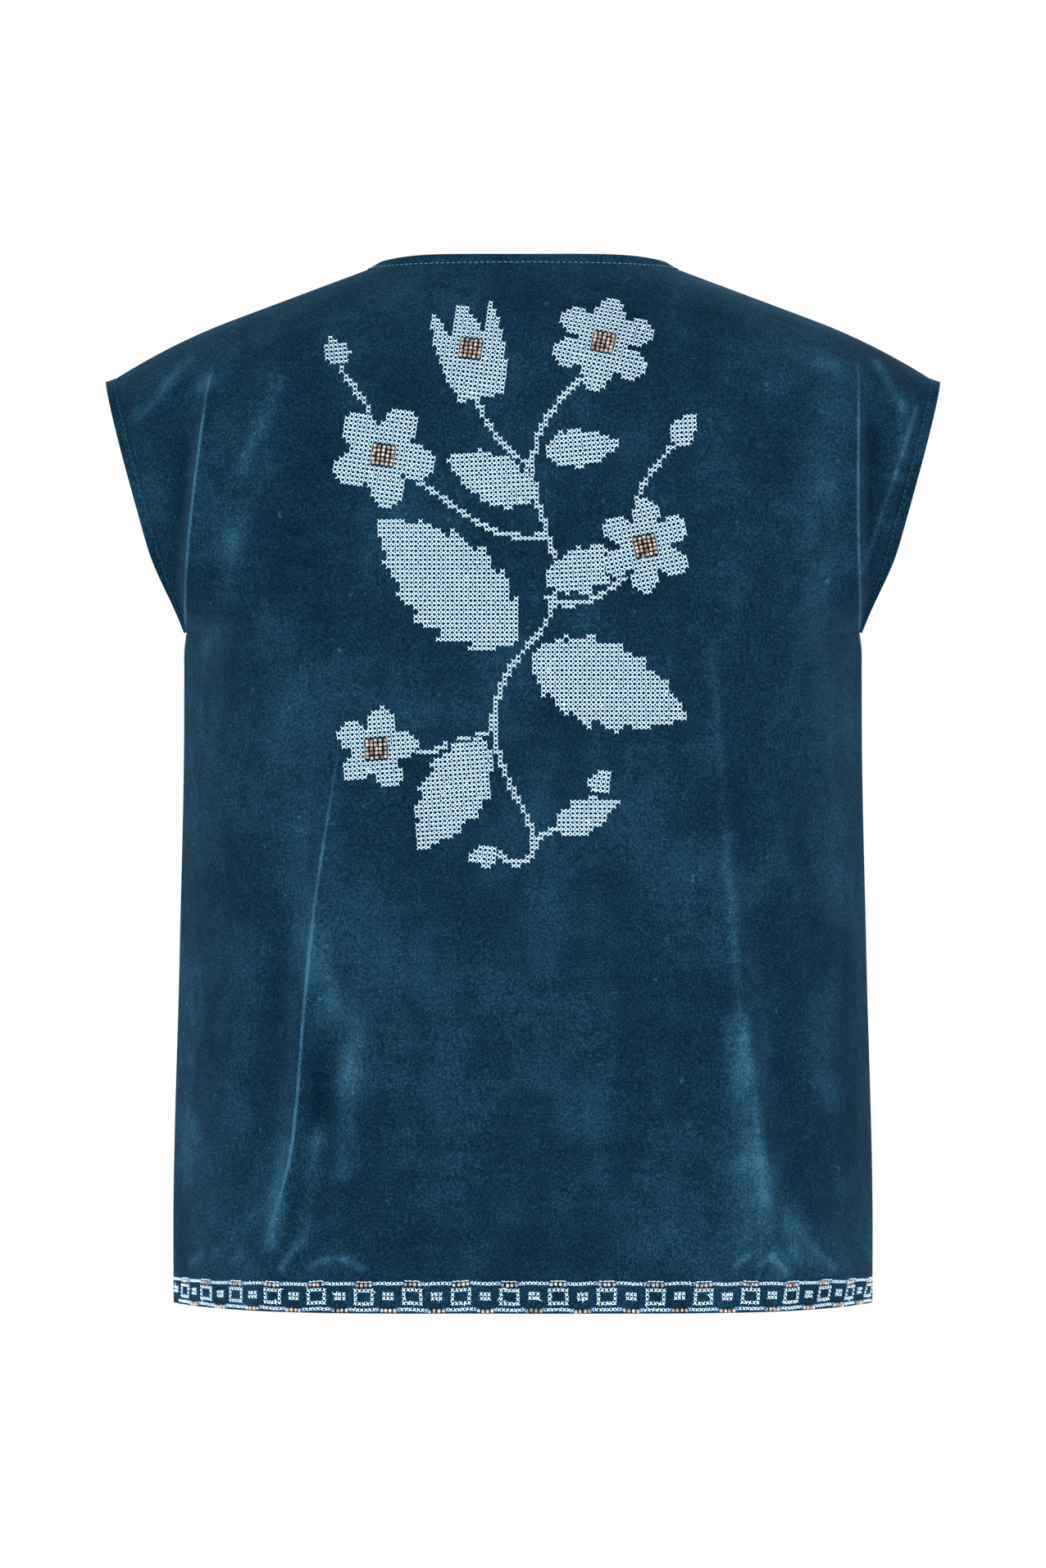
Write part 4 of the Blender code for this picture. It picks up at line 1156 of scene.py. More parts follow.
def turned_grid(reach, tilt):
    """Points of a square grid of stitches round the origin, turned by the tilt."""
    steps = np.arange(-np.ceil(reach / CROSS_PITCH), np.ceil(reach / CROSS_PITCH) + 1) * CROSS_PITCH
    i, j = np.meshgrid(steps, steps)
    return (i * np.cos(tilt) - j * np.sin(tilt)).ravel(), (i * np.sin(tilt) + j * np.cos(tilt)).ravel()


def in_heart(motif, across, up):
    """Whether a grid point lies under a flower's bead heart."""
    tilt = np.radians(motif.tilt)
    i = across * np.cos(tilt) + up * np.sin(tilt)
    j = up * np.cos(tilt) - across * np.sin(tilt)
    wide = HEART_COLUMNS * HEART_SPACING[0] / 2
    tall = HEART_ROWS * HEART_SPACING[1] / 2
    return (motif.shape in BLOOMS) & (np.abs(i) < wide) & (np.abs(j) < tall)


def spray_chart():
    """Centres (across, down), tilts and a flower flag of all crosses, none closer than a stitch."""
    placed = np.zeros((0, 4))
    for motif in SPRAY:
        tilt = np.radians(motif.tilt)
        turn = np.radians(motif.turn)
        across, up = turned_grid(motif.size * MOTIF_REACH, tilt)
        u = across * np.cos(turn) - up * np.sin(turn)
        v = across * np.sin(turn) + up * np.cos(turn)
        chosen = motif.shape(u, v, motif.size, motif.parts) & ~in_heart(motif, across, up)
        placed = add_stitches(placed, motif.x + across[chosen], motif.down - up[chosen], tilt,
                              motif.shape in BLOOMS)
    i, j = turned_grid(SPRAY_REACH, 0.0)
    for corners in STEMS:
        x, down = bezier(corners, np.linspace(0.0, 1.0, STEM_SAMPLES))
        near = np.zeros(len(i), bool)
        for start in range(0, STEM_SAMPLES, STEM_STRETCH):
            part = slice(start, start + STEM_STRETCH + 1)
            gap = np.hypot(i[:, None] - x[part], j[:, None] - down[part]).min(axis=1)
            near |= gap < STEM_HALF_WIDTH
        placed = add_stitches(placed, i[near], j[near], 0.0, False)
    return placed


def add_stitches(placed, across, down, tilt, is_bloom):
    """The chart with a motif's crosses added, but for those that would lie on an earlier one."""
    new = np.stack((across, down, np.full_like(across, tilt), np.full_like(across, is_bloom)), axis=-1)
    if len(placed):
        apart = np.hypot(new[:, None, 0] - placed[:, 0], new[:, None, 1] - placed[:, 1]).min(axis=1)
        new = new[apart > STITCH_CLEAR * CROSS_PITCH]
    return np.concatenate((placed, new))


def bead_mesh(name, point, axis, out, material, seed):
    """Seed beads as one mesh: each a ring with an oval section, its hole along the axis."""
    rng = np.random.default_rng(seed)
    around = np.linspace(0.0, 2 * np.pi, BEAD_AROUND, endpoint=False)[:, None]
    profile = np.linspace(0.0, 2 * np.pi, BEAD_PROFILE, endpoint=False)
    scale = 1 + rng.normal(0.0, BEAD_SIZE_SPREAD, (len(point), 1, 1, 1))
    radius = (BEAD_RADIUS + BEAD_HOLE) / 2 + (BEAD_RADIUS - BEAD_HOLE) / 2 * np.cos(profile)
    lengthwise = BEAD_LENGTH / 2 * np.sin(profile)
    side = np.cross(axis, out)
    ring = np.cos(around)[..., None] * out[:, None, None] + np.sin(around)[..., None] * side[:, None, None]
    points = ring * radius[:, None] + axis[:, None, None] * lengthwise[:, None]
    points = point[:, None, None] + points * scale
    number = np.arange(points[..., 0].size).reshape(points.shape[:3])
    beyond = np.roll(number, -1, axis=1)
    corners = (number, beyond, np.roll(beyond, -1, axis=2), np.roll(number, -1, axis=2))
    faces = np.stack(corners, axis=-1).reshape(-1, 4)
    return new_piece(name, points, faces, (material,))


def flower_hearts(material):
    """Beads in the heart of each flower: rows of beads whose holes lie along the rows."""
    i, j = np.meshgrid(np.arange(HEART_COLUMNS) - (HEART_COLUMNS - 1) / 2,
                       np.arange(HEART_ROWS) - (HEART_ROWS - 1) / 2)
    rng = np.random.default_rng(11)
    parts = []
    for motif in SPRAY:
        if motif.shape not in BLOOMS:
            continue
        tilt = np.radians(motif.tilt)
        wide = i.ravel() * HEART_SPACING[0] + rng.normal(0.0, BEAD_PLACE_SPREAD, i.size)
        tall = j.ravel() * HEART_SPACING[1] + rng.normal(0.0, BEAD_PLACE_SPREAD, i.size)
        x = motif.x + wide * np.cos(tilt) - tall * np.sin(tilt)
        z = down_to_z(motif.down - wide * np.sin(tilt) - tall * np.cos(tilt))
        point, across, up, out = cloth_frame(x, z, back=True, lift=HEART_BEAD_LIFT)
        slant = tilt + rng.normal(0.0, BEAD_SLANT_SPREAD, len(x))[:, None]
        parts.append((point, up * np.cos(slant) - across * np.sin(slant), out))
    point, axis, out = (np.concatenate(part) for part in zip(*parts))
    return bead_mesh("heart_beads", point, axis, out, material, seed=12)


def hem_line(z, back):
    """Half round of the hem band at height z: places x and the length along the cloth to each."""
    turn = np.linspace(-np.pi / 2, np.pi / 2, HEM_SAMPLES)
    x = np.sin(turn) * (half_width(np.array(z)) - SEAM_GAP)
    y = depth(x, np.full_like(x, z), back)
    along = np.concatenate(([0.0], np.cumsum(np.hypot(np.diff(x), np.diff(y)))))
    return x, along - along[-1] / 2


def hem_x(length, z, back):
    """Places x on the hem band for lengths along its cloth, at heights z."""
    x = np.zeros_like(length)
    for height in np.unique(z):
        places, along = hem_line(height, back)
        at_height = z == height
        x[at_height] = np.interp(length[at_height], along, places)
    return x


def border_chart(step_length):
    """Crosses of the hem border: three rows of centres (motif steps, height) with their cell sizes.

    A motif step of 0 is a square's middle and 0.5 is a star's. Where a line carries beads its crosses
    are flat dashes that show above them.
    """
    cells = []
    line = (np.arange(CROSSES_PER_MOTIF) + 0.5) / CROSSES_PER_MOTIF - 0.5
    for z, beads_at in ((TOP_LINE_Z, 0.0), (BOTTOM_LINE_Z, 0.5)):
        for step in line:
            from_beads = abs((step - beads_at + 0.5) % 1 - 0.5) * step_length
            if from_beads > BEADS_PER_GROUP * HEM_BEAD_SPACING / 2:
                cells.append((step, 0.0, z, *LINE_CELL))
            elif z == TOP_LINE_Z:
                cells.append((step, 0.0, z + DASH_RISE, LINE_CELL[0], DASH_HEIGHT))
    for (columns, rows), (wide, tall), z, step in ((SQUARE_CELLS, SQUARE_CELL, SQUARE_Z, 0.0),
                                                   (STAR_CELLS, STAR_CELL, STAR_Z, 0.5)):
        for column in range(columns):
            for row in range(rows):
                inside = 0 < column < columns - 1 and 0 < row < rows - 1
                if not inside:
                    from_middle = (column - (columns - 1) / 2) * wide
                    height = z + (row - (rows - 1) / 2) * tall
                    cells.append((step, from_middle, height, wide, tall))
    return np.array(cells)


def border_places(back, side):
    """Middle of each square along the hem, the step between them and the hem's limits on this piece.

    side is 0 on the back and the wearer's side of a front; the border is shifted along on the back.
    """
    _, along = hem_line(SQUARE_Z, back)
    if side == 0:
        step = 2 * along[-1] / SQUARES_ACROSS_BACK
        middles = (np.arange(SQUARES_ACROSS_BACK) - (SQUARES_ACROSS_BACK - 1) / 2) * step + BORDER_SHIFT
        return middles, step, (along[0], along[-1])
    first = FRONT_EDGE_X
    step = (along[-1] - first) / SQUARES_ACROSS_FRONT
    middles = side * (first + (np.arange(SQUARES_ACROSS_FRONT) + 0.5) * step)
    limits = (first, along[-1]) if side > 0 else (-along[-1], -first)
    return middles, step, limits


def drawn_down(x, z):
    """Height of the border's stitches: never quite level, and drawn closer to the hem at the sides."""
    side = np.abs(x) / half_width(z)
    waver = BORDER_WAVER * sum(np.sin(x * 2 * np.pi / length) for length in BORDER_WAVELENGTHS)
    return HEM_Z + (z - HEM_Z) * (1 - BORDER_DRAWN_DOWN * side**BORDER_SIDE_POWER) + waver


def hem_crosses(name, back, side, material, seed):
    """The hem border's crosses on one hem strip, at lengths along the cloth round its curve."""
    middles, step, limits = border_places(back, side)
    chart = border_chart(step)
    middles = np.concatenate((middles, (middles.min() - step, middles.max() + step)))
    length = middles[:, None] + chart[:, 0] * step + chart[:, 1]
    z = np.broadcast_to(chart[:, 2], length.shape)
    cell = np.broadcast_to(chart[:, 3:] * BORDER_CROSS_SHARE, length.shape + (2,))
    if back:
        to_right = (length / limits[1]).clip(0, 1)
        length = length + (z - SQUARE_Z) * BORDER_SLANT * to_right**BORDER_SIDE_POWER
    keep = (length > limits[0] + CROSS_PITCH / 2) & (length < limits[1] - CROSS_PITCH / 2)
    length, z, cell = length[keep], z[keep], cell[keep]
    x = hem_x(length, z, back)
    to_side = np.abs(x)[:, None] / half_width(HEM_Z)
    cell = cell * (1.0, 1 - BORDER_DRAWN_DOWN) ** to_side**BORDER_SIDE_POWER
    rng = np.random.default_rng(seed)
    tilt = rng.normal(0.0, BORDER_TILT_SPREAD, len(x))
    in_motif = np.flatnonzero((z < TOP_LINE_Z) & (z > BOTTOM_LINE_Z))
    z = drawn_down(x, z)
    ends = rng.choice(in_motif, ENDS_PER_SQUARE * len(middles), replace=False)
    return cross_stitch(name, x, z, back, tilt, cell, material, lift=HEM_BAND_STANDS_OUT, seed=seed,
                        ends=ends)


def bead_fastenings(name, back, side, material, seed):
    """Upright stitches of brighter thread at both ends of each group of beads on one hem strip."""
    middles, step, limits = border_places(back, side)
    ends = np.array((-1, 1)) * (BEADS_PER_GROUP / 2 + FASTENING_BEYOND) * HEM_BEAD_SPACING
    length = np.concatenate([(middles[:, None] + shift + ends).ravel() for shift in (0.0, step / 2)])
    z = np.repeat((TOP_LINE_Z, BOTTOM_LINE_Z), 2 * len(middles))
    keep = (length > limits[0] + CROSS_PITCH) & (length < limits[1] - CROSS_PITCH)
    x = hem_x(length[keep], z[keep], back)
    tilt = np.random.default_rng(seed).normal(0.0, FASTENING_TILT_SPREAD, len(x))
    return cross_stitch(name, x, drawn_down(x, z[keep]), back, tilt, FASTENING_CELL, material,
                        lift=HEM_BAND_STANDS_OUT + FASTENING_LIFT, seed=seed)


def hem_beads(material):
    """Groups of beads on the border's lines: over each square on top, under each star below."""
    rng = np.random.default_rng(21)
    parts = []
    for back, side in ((True, 0), (False, -1), (False, 1)):
        middles, step, limits = border_places(back, side)
        for z, shift in ((TOP_LINE_Z, 0.0), (BOTTOM_LINE_Z, step / 2)):
            spread = (np.arange(BEADS_PER_GROUP) - (BEADS_PER_GROUP - 1) / 2) * HEM_BEAD_SPACING
            length = (middles[:, None] + shift + spread).ravel()
            length = length[(length > limits[0] + 2 * BEAD_RADIUS) & (length < limits[1] - 2 * BEAD_RADIUS)]
            length = length + rng.normal(0.0, HEM_BEAD_SPREAD, len(length))
            x = hem_x(length, np.full_like(length, z), back)
            height = drawn_down(x, z - HEM_BEAD_DROP) + rng.normal(0.0, BEAD_PLACE_SPREAD, len(length))
            point, across, up, out = cloth_frame(x, height, back, HEM_BAND_STANDS_OUT + HEM_BEAD_LIFT)
            slant = rng.normal(0.0, BEAD_SLANT_SPREAD, len(x))[:, None]
            parts.append((point, across * np.cos(slant) + up * np.sin(slant), out))
    point, axis, out = (np.concatenate(part) for part in zip(*parts))
    return bead_mesh("hem_beads", point, axis, out, material, seed=22)


def running_stitch(path, out):
    """Short arched stitches at even steps along a path: their points and outward directions."""
    steps = np.linalg.norm(np.diff(path, axis=0), axis=-1)
    along = np.concatenate(([0.0], np.cumsum(steps)))
    starts = np.arange(TOPSTITCH_SPACING, along[-1] - TOPSTITCH_SPACING, TOPSTITCH_SPACING)
    part = np.linspace(0.0, 1.0, TOPSTITCH_POINTS)
    at = starts[:, None] + part * TOPSTITCH_LENGTH
    points = np.stack([np.interp(at, along, axis) for axis in path.T], axis=-1)
    normal = unit(np.stack([np.interp(at, along, axis) for axis in out.T], axis=-1))
    height = TOPSTITCH_RISE * np.sin(np.pi * part) - TOPSTITCH_SINK
    return points + normal * height[:, None], normal


def neck_rows():
    """The row of stitches that shows along the neck band's foot."""
    edge, aim, _ = neck_band_edge()
    out = unit(np.cross(np.gradient(edge, axis=0), aim))
    return [running_stitch(edge + aim * (SEAM_GAP + TOPSTITCH_INSET), out)]


def band_rows():
    """Rows of stitches round the armhole bands and along the front bands, near their seams."""
    rows = []
    for side in (-1, 1):
        reach = SEAM_GAP + TOPSTITCH_INSET
        ring = armhole_ring(side, reach)
        beyond = armhole_ring(side, reach + TOPSTITCH_INSET)
        out = unit(np.cross(np.roll(ring, -1, axis=0) - np.roll(ring, 1, axis=0), beyond - ring))
        out *= np.sign(np.sum(out * (ring - ring.mean(axis=0))))
        rows.append(running_stitch(np.append(ring, ring[:1], axis=0), np.append(out, out[:1], axis=0)))
        x, z, inward, _ = front_band_edge()
        at_x, at_z = side * (x + reach * inward[:, 0]), z + reach * inward[:, 1]
        path, _, _, out = cloth_frame(at_x[STITCHED_ROWS], at_z[STITCHED_ROWS], back=False)
        rows.append(running_stitch(path, out))
    return rows


def topstitching(name, rows, material):
    """Rows of small stitches as one mesh."""
    points, normals = (np.concatenate(part) for part in zip(*rows))
    return thread_mesh(name, points, normals, TOPSTITCH_WIDTH, TOPSTITCH_THICKNESS, material)


class Value:
    """A number that varies over a surface: an operator on it adds a Math node."""

    def __init__(self, finish, socket):
        self.finish = finish
        self.socket = socket

    def math(self, operation, first, second=0.0):
        """A Math node with the two numbers."""
        node = self.finish.node("ShaderNodeMath", {"operation": operation}, {0: first, 1: second})
        return Value(self.finish, node.outputs[0])

    def __add__(self, other):
        return self.math("ADD", self, other)

    __radd__ = __add__

    def __sub__(self, other):
        return self.math("SUBTRACT", self, other)

    def __rsub__(self, other):
        return self.math("SUBTRACT", other, self)

    def __mul__(self, other):
        return self.math("MULTIPLY", self, other)

    __rmul__ = __mul__

    def __pow__(self, other):
        return self.math("POWER", self, other)

    def sine(self):
        """Sine of the number, in radians."""
        return self.math("SINE", self)

    def exponent(self):
        """e to the power of the number."""
        return self.math("EXPONENT", self)

    def clamped(self):
        """The number held between 0 and 1."""
        return self.math("MINIMUM", self.math("MAXIMUM", self, 0.0), 1.0)


class Finish:
    """A material being made: its node tree, and one method that adds any node."""

    def __init__(self, name, **constants):
        self.material = bpy.data.materials.new(name)
        self.material.use_nodes = True
        self.tree = self.material.node_tree
        self.shader = self.tree.nodes["Principled BSDF"]
        self.place = self.node("ShaderNodeTexCoord").outputs["Object"]
        for socket, value in constants.items():
            self.shader.inputs[socket.replace("_", " ").title().replace("Ior", "IOR")].default_value = value

    def node(self, kind, settings=None, sockets=None):
        """Adds a node, gives it its settings, then sets or links its sockets."""
        node = self.tree.nodes.new(kind)
        for key, value in (settings or {}).items():
            setattr(node, key, value)
        for key, value in (sockets or {}).items():
            self.feed(node.inputs[key], value)
        return node

    def feed(self, socket, value):
        """Links a socket to a varying value, or sets it to a constant."""
        if isinstance(value, Value):
            value = value.socket
        if isinstance(value, bpy.types.NodeSocket):
            self.tree.links.new(value, socket)
        else:
            socket.default_value = value

    def noise(self, scale, detail=2.0, roughness=0.5, stretch=(1.0, 1.0, 1.0)):
        """Soft random value on the object's own coordinates, stretched along an axis where asked."""
        place = self.place
        if stretch != (1.0, 1.0, 1.0):
            place = self.node("ShaderNodeMapping", {}, {"Vector": place, "Scale": stretch}).outputs[0]
        sockets = {"Vector": place, "Scale": scale, "Detail": detail, "Roughness": roughness}
        return Value(self, self.node("ShaderNodeTexNoise", {}, sockets).outputs[0])

    def attribute(self, name):
        """A number kept at the mesh's points."""
        node = self.node("ShaderNodeAttribute", {"attribute_name": name})
        return Value(self, node.outputs["Fac"])

    def coordinate(self, source, axis):
        """One coordinate of a vector socket."""
        node = self.node("ShaderNodeSeparateXYZ", {}, {0: source})
        return Value(self, node.outputs[axis])

    def mixed(self, factor, first, second):
        """A colour between two, by the factor."""
        node = self.node("ShaderNodeMix", {"data_type": "RGBA"}, {0: factor, 6: first, 7: second})
        return node.outputs[2]

    def ramp(self, factor, stops):
        """A colour between evenly or unevenly placed stops, each a place and a colour."""
        node = self.node("ShaderNodeValToRGB", {}, {0: factor})
        elements = node.color_ramp.elements
        while len(elements) < len(stops):
            elements.new(1.0)
        for element, (place, colour) in zip(elements, stops):
            element.position = place
            element.color = colour
        return node.outputs[0]

    def colour(self, value):
        """Links or sets the base colour."""
        self.feed(self.shader.inputs["Base Color"], value)

    def roughness(self, value):
        """Links or sets the roughness."""
        self.feed(self.shader.inputs["Roughness"], value)

    def bump(self, height, distance, strength=1.0):
        """Raises the surface by a varying height."""
        sockets = {"Height": height, "Distance": distance, "Strength": strength}
        node = self.node("ShaderNodeBump", {}, sockets)
        self.feed(self.shader.inputs["Normal"], node.outputs[0])


def rgba(red, green, blue):
    """A colour with full opacity."""
    return (red, green, blue, 1.0)


# The velvet's colours, from its darkest to the palest painted highlight on a crest
NAP_TONES = (
    (0.00, rgba(0.0011, 0.0048, 0.0115)),
    (0.35, rgba(0.0032, 0.0155, 0.0315)),
    (0.65, rgba(0.0095, 0.0395, 0.0705)),
    (1.00, rgba(0.0290, 0.0860, 0.1430)),
)
# Half-width of the painted highlight along a sharp fold's crest
CREST_HIGHLIGHT_WIDTH = 0.0009
WEAVE_PITCH = 0.55 * MM


def velvet(name, plain):
    """Cotton velvet: pile that clouds and streaks at random, with painted highlight and shade along the
    folds.

    plain is the tone of the pile at rest, from 0 (dark) to 1 (the palest painted highlight).
    """
    finish = Finish(name, sheen_weight=0.075, sheen_roughness=0.40, sheen_tint=rgba(0.34, 0.62, 0.86),
                    specular_ior_level=0.0)
    cloud = finish.noise(13.0, 5.0, 0.6)
    brushed = finish.noise(40.0, 4.0, 0.65, (1.0, 1.0, 0.45))
    streak = finish.noise(70.0, 3.0, 0.6, (0.35, 1.0, 1.5))
    pile = finish.noise(850.0, 2.0, 0.7)
    lint = finish.noise(190.0, 1.0, 0.5)
    # Painted highlight and shade from the mesh, then a painted highlight along each sharp fold crest
    painted_light = finish.attribute("painted_light")
    crest = finish.attribute("crest") * (1 / CREST_HIGHLIGHT_WIDTH)
    painted_crest_highlight = ((crest * crest) * -1.0).exponent() * finish.attribute("crest_share").clamped()
    patchy = ((brushed - 0.22) * 1.9).clamped()
    tone = plain + (cloud - 0.5) * 0.64 + (brushed - 0.5) * 0.36 + painted_light * (0.35 + patchy * 1.1)
    tone = tone + painted_crest_highlight * (0.26 + patchy * 0.48) + (pile - 0.5) * 1.25 + (streak - 0.5) * 0.22
    tone = tone + ((lint - 0.72) * 5.0).clamped() * 0.6
    finish.colour(finish.ramp(tone.clamped(), NAP_TONES))
    finish.roughness(0.78 + (pile - 0.5) * 0.25)
    finish.bump(pile + brushed * 1.6, 0.40 * MM, 0.7)
    return finish.material


def woven_backing():
    """Plain woven back of the velvet: crossed threads, about two to the millimetre."""
    finish = Finish("woven_backing", specular_ior_level=0.2)
    x = finish.coordinate(finish.place, 0)
    z = finish.coordinate(finish.place, 2)
    threads = 2 * np.pi / WEAVE_PITCH
    weave = (x * threads).sine() * (z * threads).sine()
    patch = finish.noise(30.0, 3.0)
    tone = (0.5 + weave * 0.3 + (patch - 0.5) * 0.6).clamped()
    finish.colour(finish.mixed(tone, rgba(0.012, 0.038, 0.062), rgba(0.026, 0.070, 0.105)))
    finish.roughness(0.9)
    finish.bump(weave, 0.06 * MM)
    return finish.material


def cotton_thread(name, shade, tint, shine):
    """Stranded cotton: strands that wind round the thread, each stitch a little lighter or darker."""
    finish = Finish(name, specular_ior_level=shine)
    uv = finish.node("ShaderNodeUVMap", {"uv_map": "thread"}).outputs[0]
    along = finish.coordinate(uv, 0)
    around = finish.coordinate(uv, 1)
    strands = ((along * 3.0 + around * 2.0) * 2 * np.pi).sine()
    patch = finish.noise(160.0, 2.0)
    tone = (0.5 + strands * 0.22 + (patch - 0.5) * 0.8).clamped()
    finish.colour(finish.mixed(tone, shade, tint))
    finish.roughness(0.6 + (patch - 0.5) * 0.2)
    finish.bump(strands, 0.05 * MM)
    return finish.material


def bead_glaze():
    """Metal-coated glass beads, copper bronze, some worn a little darker."""
    finish = Finish("bead_glaze", metallic=0.55, coat_weight=0.6, coat_roughness=0.06)
    worn = finish.noise(420.0, 2.0)
    tone = ((worn - 0.36) * 3.2).clamped()
    finish.colour(finish.mixed(tone, rgba(0.10, 0.064, 0.046), rgba(0.62, 0.50, 0.41)))
    finish.roughness(0.16 + worn * 0.15)
    finish.bump(worn, 0.03 * MM)
    return finish.material


FLOOR_Z = HEM_Z - 0.20
FLOOR_RADIUS = 1.6
FLOOR_SIDES = 96


def studio_floor():
    """Round pale floor under the garment, glowing a little so that it meets the white surround."""
    turn = np.linspace(0.0, 2 * np.pi, FLOOR_SIDES, endpoint=False)
    points = np.stack((FLOOR_RADIUS * np.cos(turn), FLOOR_RADIUS * np.sin(turn),
                       np.full_like(turn, FLOOR_Z)), axis=-1)
    finish = Finish("pale_floor", specular_ior_level=0.1, emission_strength=0.5)
    shade = finish.noise(1.5, 2.0)
    finish.colour(finish.mixed(shade, rgba(0.86, 0.86, 0.86), rgba(0.90, 0.90, 0.90)))
    finish.shader.inputs["Emission Color"].default_value = rgba(1.0, 1.0, 1.0)
    finish.roughness(0.8)
    floor = new_piece("floor", points, np.arange(FLOOR_SIDES)[None], (finish.material,))


# Each soft light: its name, place, the point it faces, its width and its power
Lamp = namedtuple("Lamp", "name place faces size power")
LAMPS = (
    Lamp("key", (-2.4, -3.6, 1.0), (0.0, 0.0, -0.3), 1.5, 131),
    Lamp("fill", (2.8, -3.4, 0.4), (0.0, 0.0, -0.3), 1.8, 80),
    Lamp("left_edge", (-2.6, 0.6, -0.1), (0.0, 0.0, -0.35), 1.4, 30),
    Lamp("right_edge", (2.6, 0.6, -0.1), (0.0, 0.0, -0.35), 1.4, 30),
    Lamp("behind", (1.4, 3.6, 0.8), (0.0, 0.0, -0.3), 1.8, 132),
    Lamp("above", (0.0, -1.4, 2.6), (0.0, 0.0, -0.1), 2.0, 46),
    Lamp("behind_fill", (-2.4, 3.2, 0.4), (0.0, 0.0, -0.3), 1.8, 68),
)
SURROUND = 0.72


def studio_lights():
    """Soft square lights, each turned to the point it faces, and a white surround."""
    for lamp in LAMPS:
        light = bpy.data.lights.new(lamp.name, "AREA")
        light.size = lamp.size
        light.energy = lamp.power
        holder = bpy.data.objects.new(lamp.name, light)
        holder.location = lamp.place
        facing = Vector(lamp.faces) - Vector(lamp.place)
        holder.rotation_euler = facing.to_track_quat("-Z", "Y").to_euler()
        bpy.context.scene.collection.objects.link(holder)
    world = bpy.data.worlds.new("surround")
    world.use_nodes = True
    background = world.node_tree.nodes["Background"]
    path = world.node_tree.nodes.new("ShaderNodeLightPath")
    strength = world.node_tree.nodes.new("ShaderNodeMapRange")
    strength.inputs["To Min"].default_value = SURROUND
    strength.inputs["To Max"].default_value = 1.0
    world.node_tree.links.new(path.outputs["Is Camera Ray"], strength.inputs["Value"])
    world.node_tree.links.new(strength.outputs["Result"], background.inputs["Strength"])
    background.inputs["Color"].default_value = rgba(1.0, 1.0, 1.0)
    bpy.context.scene.world = world


# The photo's frame: a pixel at the plane of the side seams, the frame's rows and its distance
METRES_PER_PIXEL = 0.479 * MM
FRAME_ROWS = 1913
NECK_ROW = 328
CAMERA_DISTANCE = 4.7
SENSOR = 36.0


def photo_camera():
    """Level camera behind the wearer, as far away as the curve of the hem tells."""
    lens = bpy.data.cameras.new("camera")
    lens.sensor_fit = "VERTICAL"
    lens.sensor_height = SENSOR
    lens.lens = SENSOR * CAMERA_DISTANCE / (FRAME_ROWS * METRES_PER_PIXEL)
    camera = bpy.data.objects.new("camera", lens)
    camera.location = (0.0, -CAMERA_DISTANCE, (NECK_ROW - FRAME_ROWS / 2) * METRES_PER_PIXEL)
    camera.rotation_euler = (np.pi / 2, 0.0, 0.0)
    bpy.context.scene.collection.objects.link(camera)
    bpy.context.scene.camera = camera


def hand_over(piece, slot, *nodes):
    """Lets a piece ride with the garment and hides the solids that it stands for; slot is not used."""
    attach(piece, "root")
    if nodes:
        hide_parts(*nodes)
    return piece


# Outer and inner material of the panels, and of the bands, whose velvet is folded to show on both sides
body_sides = (velvet("body_velvet", 0.36), woven_backing())
band_sides = (velvet("band_velvet", 0.38),) * 2
pale_cotton = cotton_thread("pale_cotton", rgba(0.48, 0.75, 0.99), rgba(0.78, 0.93, 1.00), 0.3)
bright_cotton = cotton_thread("bright_cotton", rgba(0.040, 0.170, 0.480), rgba(0.120, 0.330, 0.720), 0.2)
teal_cotton = cotton_thread("teal_cotton", rgba(0.045, 0.150, 0.235), rgba(0.110, 0.270, 0.370), 0.1)
blue_cotton = cotton_thread("blue_cotton", rgba(0.010, 0.052, 0.092), rgba(0.026, 0.100, 0.160), 0.0)
glaze = bead_glaze()

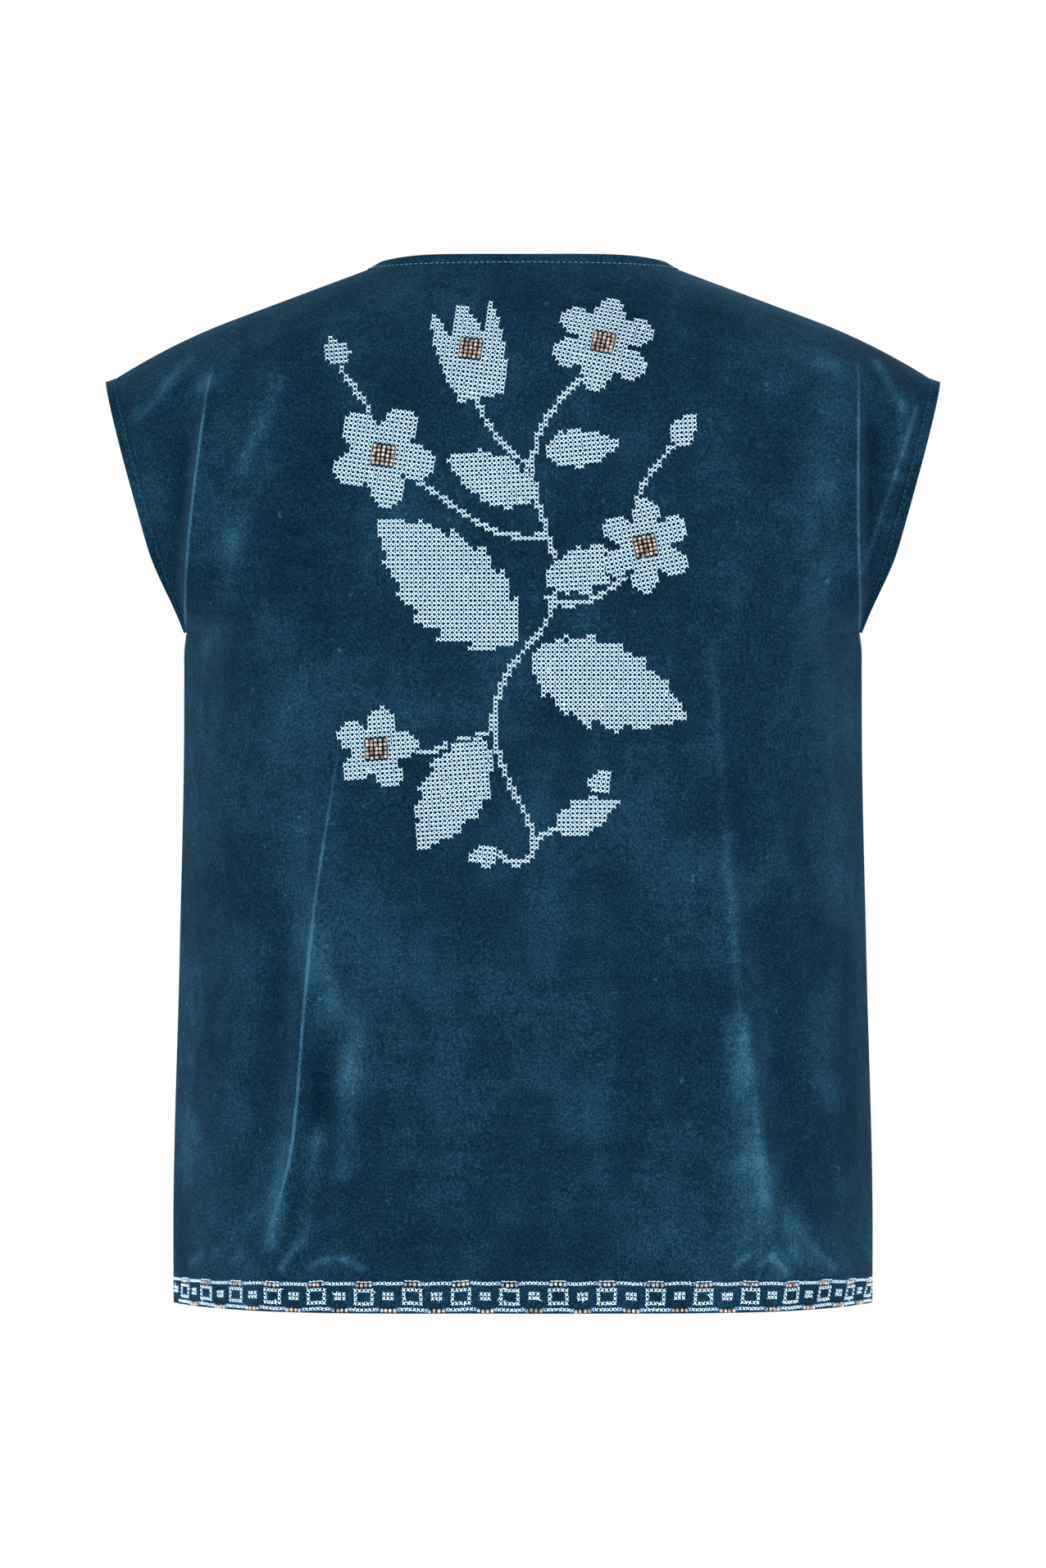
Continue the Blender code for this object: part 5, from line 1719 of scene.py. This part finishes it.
chart = spray_chart()
is_bloom = chart[:, 3] > 0.5
spray = []
for name, chosen, seed in (("spray_blooms", is_bloom, 31), ("spray_leaves", ~is_bloom, 32)):
    part = chart[chosen]
    ends = np.random.default_rng(seed).choice(len(part), SPRAY_ENDS, replace=False)
    spray.append(cross_stitch(name, part[:, 0], down_to_z(part[:, 1]), True, part[:, 2], CROSS_CELL,
                              pale_cotton, seed=seed, ends=ends, heights=TIGHT_HEIGHTS))
hearts = flower_hearts(glaze)
for piece in spray:
    hand_over(piece, "embroidery")
hand_over(hearts, "beads")
hand_over(hem_beads(glaze), "beads")
hand_over(topstitching("neck_topstitching", neck_rows(), teal_cotton), "edge_band")
hand_over(topstitching("band_topstitching", band_rows(), blue_cotton), "edge_band")

back = hand_over(back_cloth(body_sides), "velvet", "back_panel")
back_hem = hand_over(hem_strip("hem_strip_back", back_plan()[0], True, band_sides),
                     "hem_band", "hem_band_back")
back_border = hand_over(hem_crosses("hem_crosses_back", True, 0, pale_cotton, 41), "embroidery")
back_fastenings = hand_over(bead_fastenings("bead_fastenings_back", True, 0, bright_cotton, 44),
                            "embroidery")
neck = hand_over(neck_band(band_sides), "edge_band", "neck_band_back")
for wearer_side, side in (("left", -1), ("right", 1)):
    front = hand_over(front_cloth(wearer_side, side, body_sides), "velvet", "front_panel_" + wearer_side)
    strip = hem_strip("hem_strip_front_" + wearer_side, front_plan(side)[0], False, band_sides)
    hand_over(strip, "hem_band", "hem_band_front_" + wearer_side)
    border = hem_crosses("hem_crosses_front_" + wearer_side, False, side, pale_cotton, 42 + side)
    hand_over(border, "embroidery")
    fastenings = hand_over(bead_fastenings("bead_fastenings_front_" + wearer_side, False, side,
                                           bright_cotton, 45 + side), "embroidery")
    edge = hand_over(front_band(wearer_side, side, band_sides), "edge_band", "front_band_" + wearer_side)
    armhole = hand_over(armhole_band(wearer_side, side, band_sides), "edge_band",
                        "armhole_band_" + wearer_side)

studio_floor()
studio_lights()
photo_camera()
bpy.context.scene.view_settings.view_transform = "Standard"
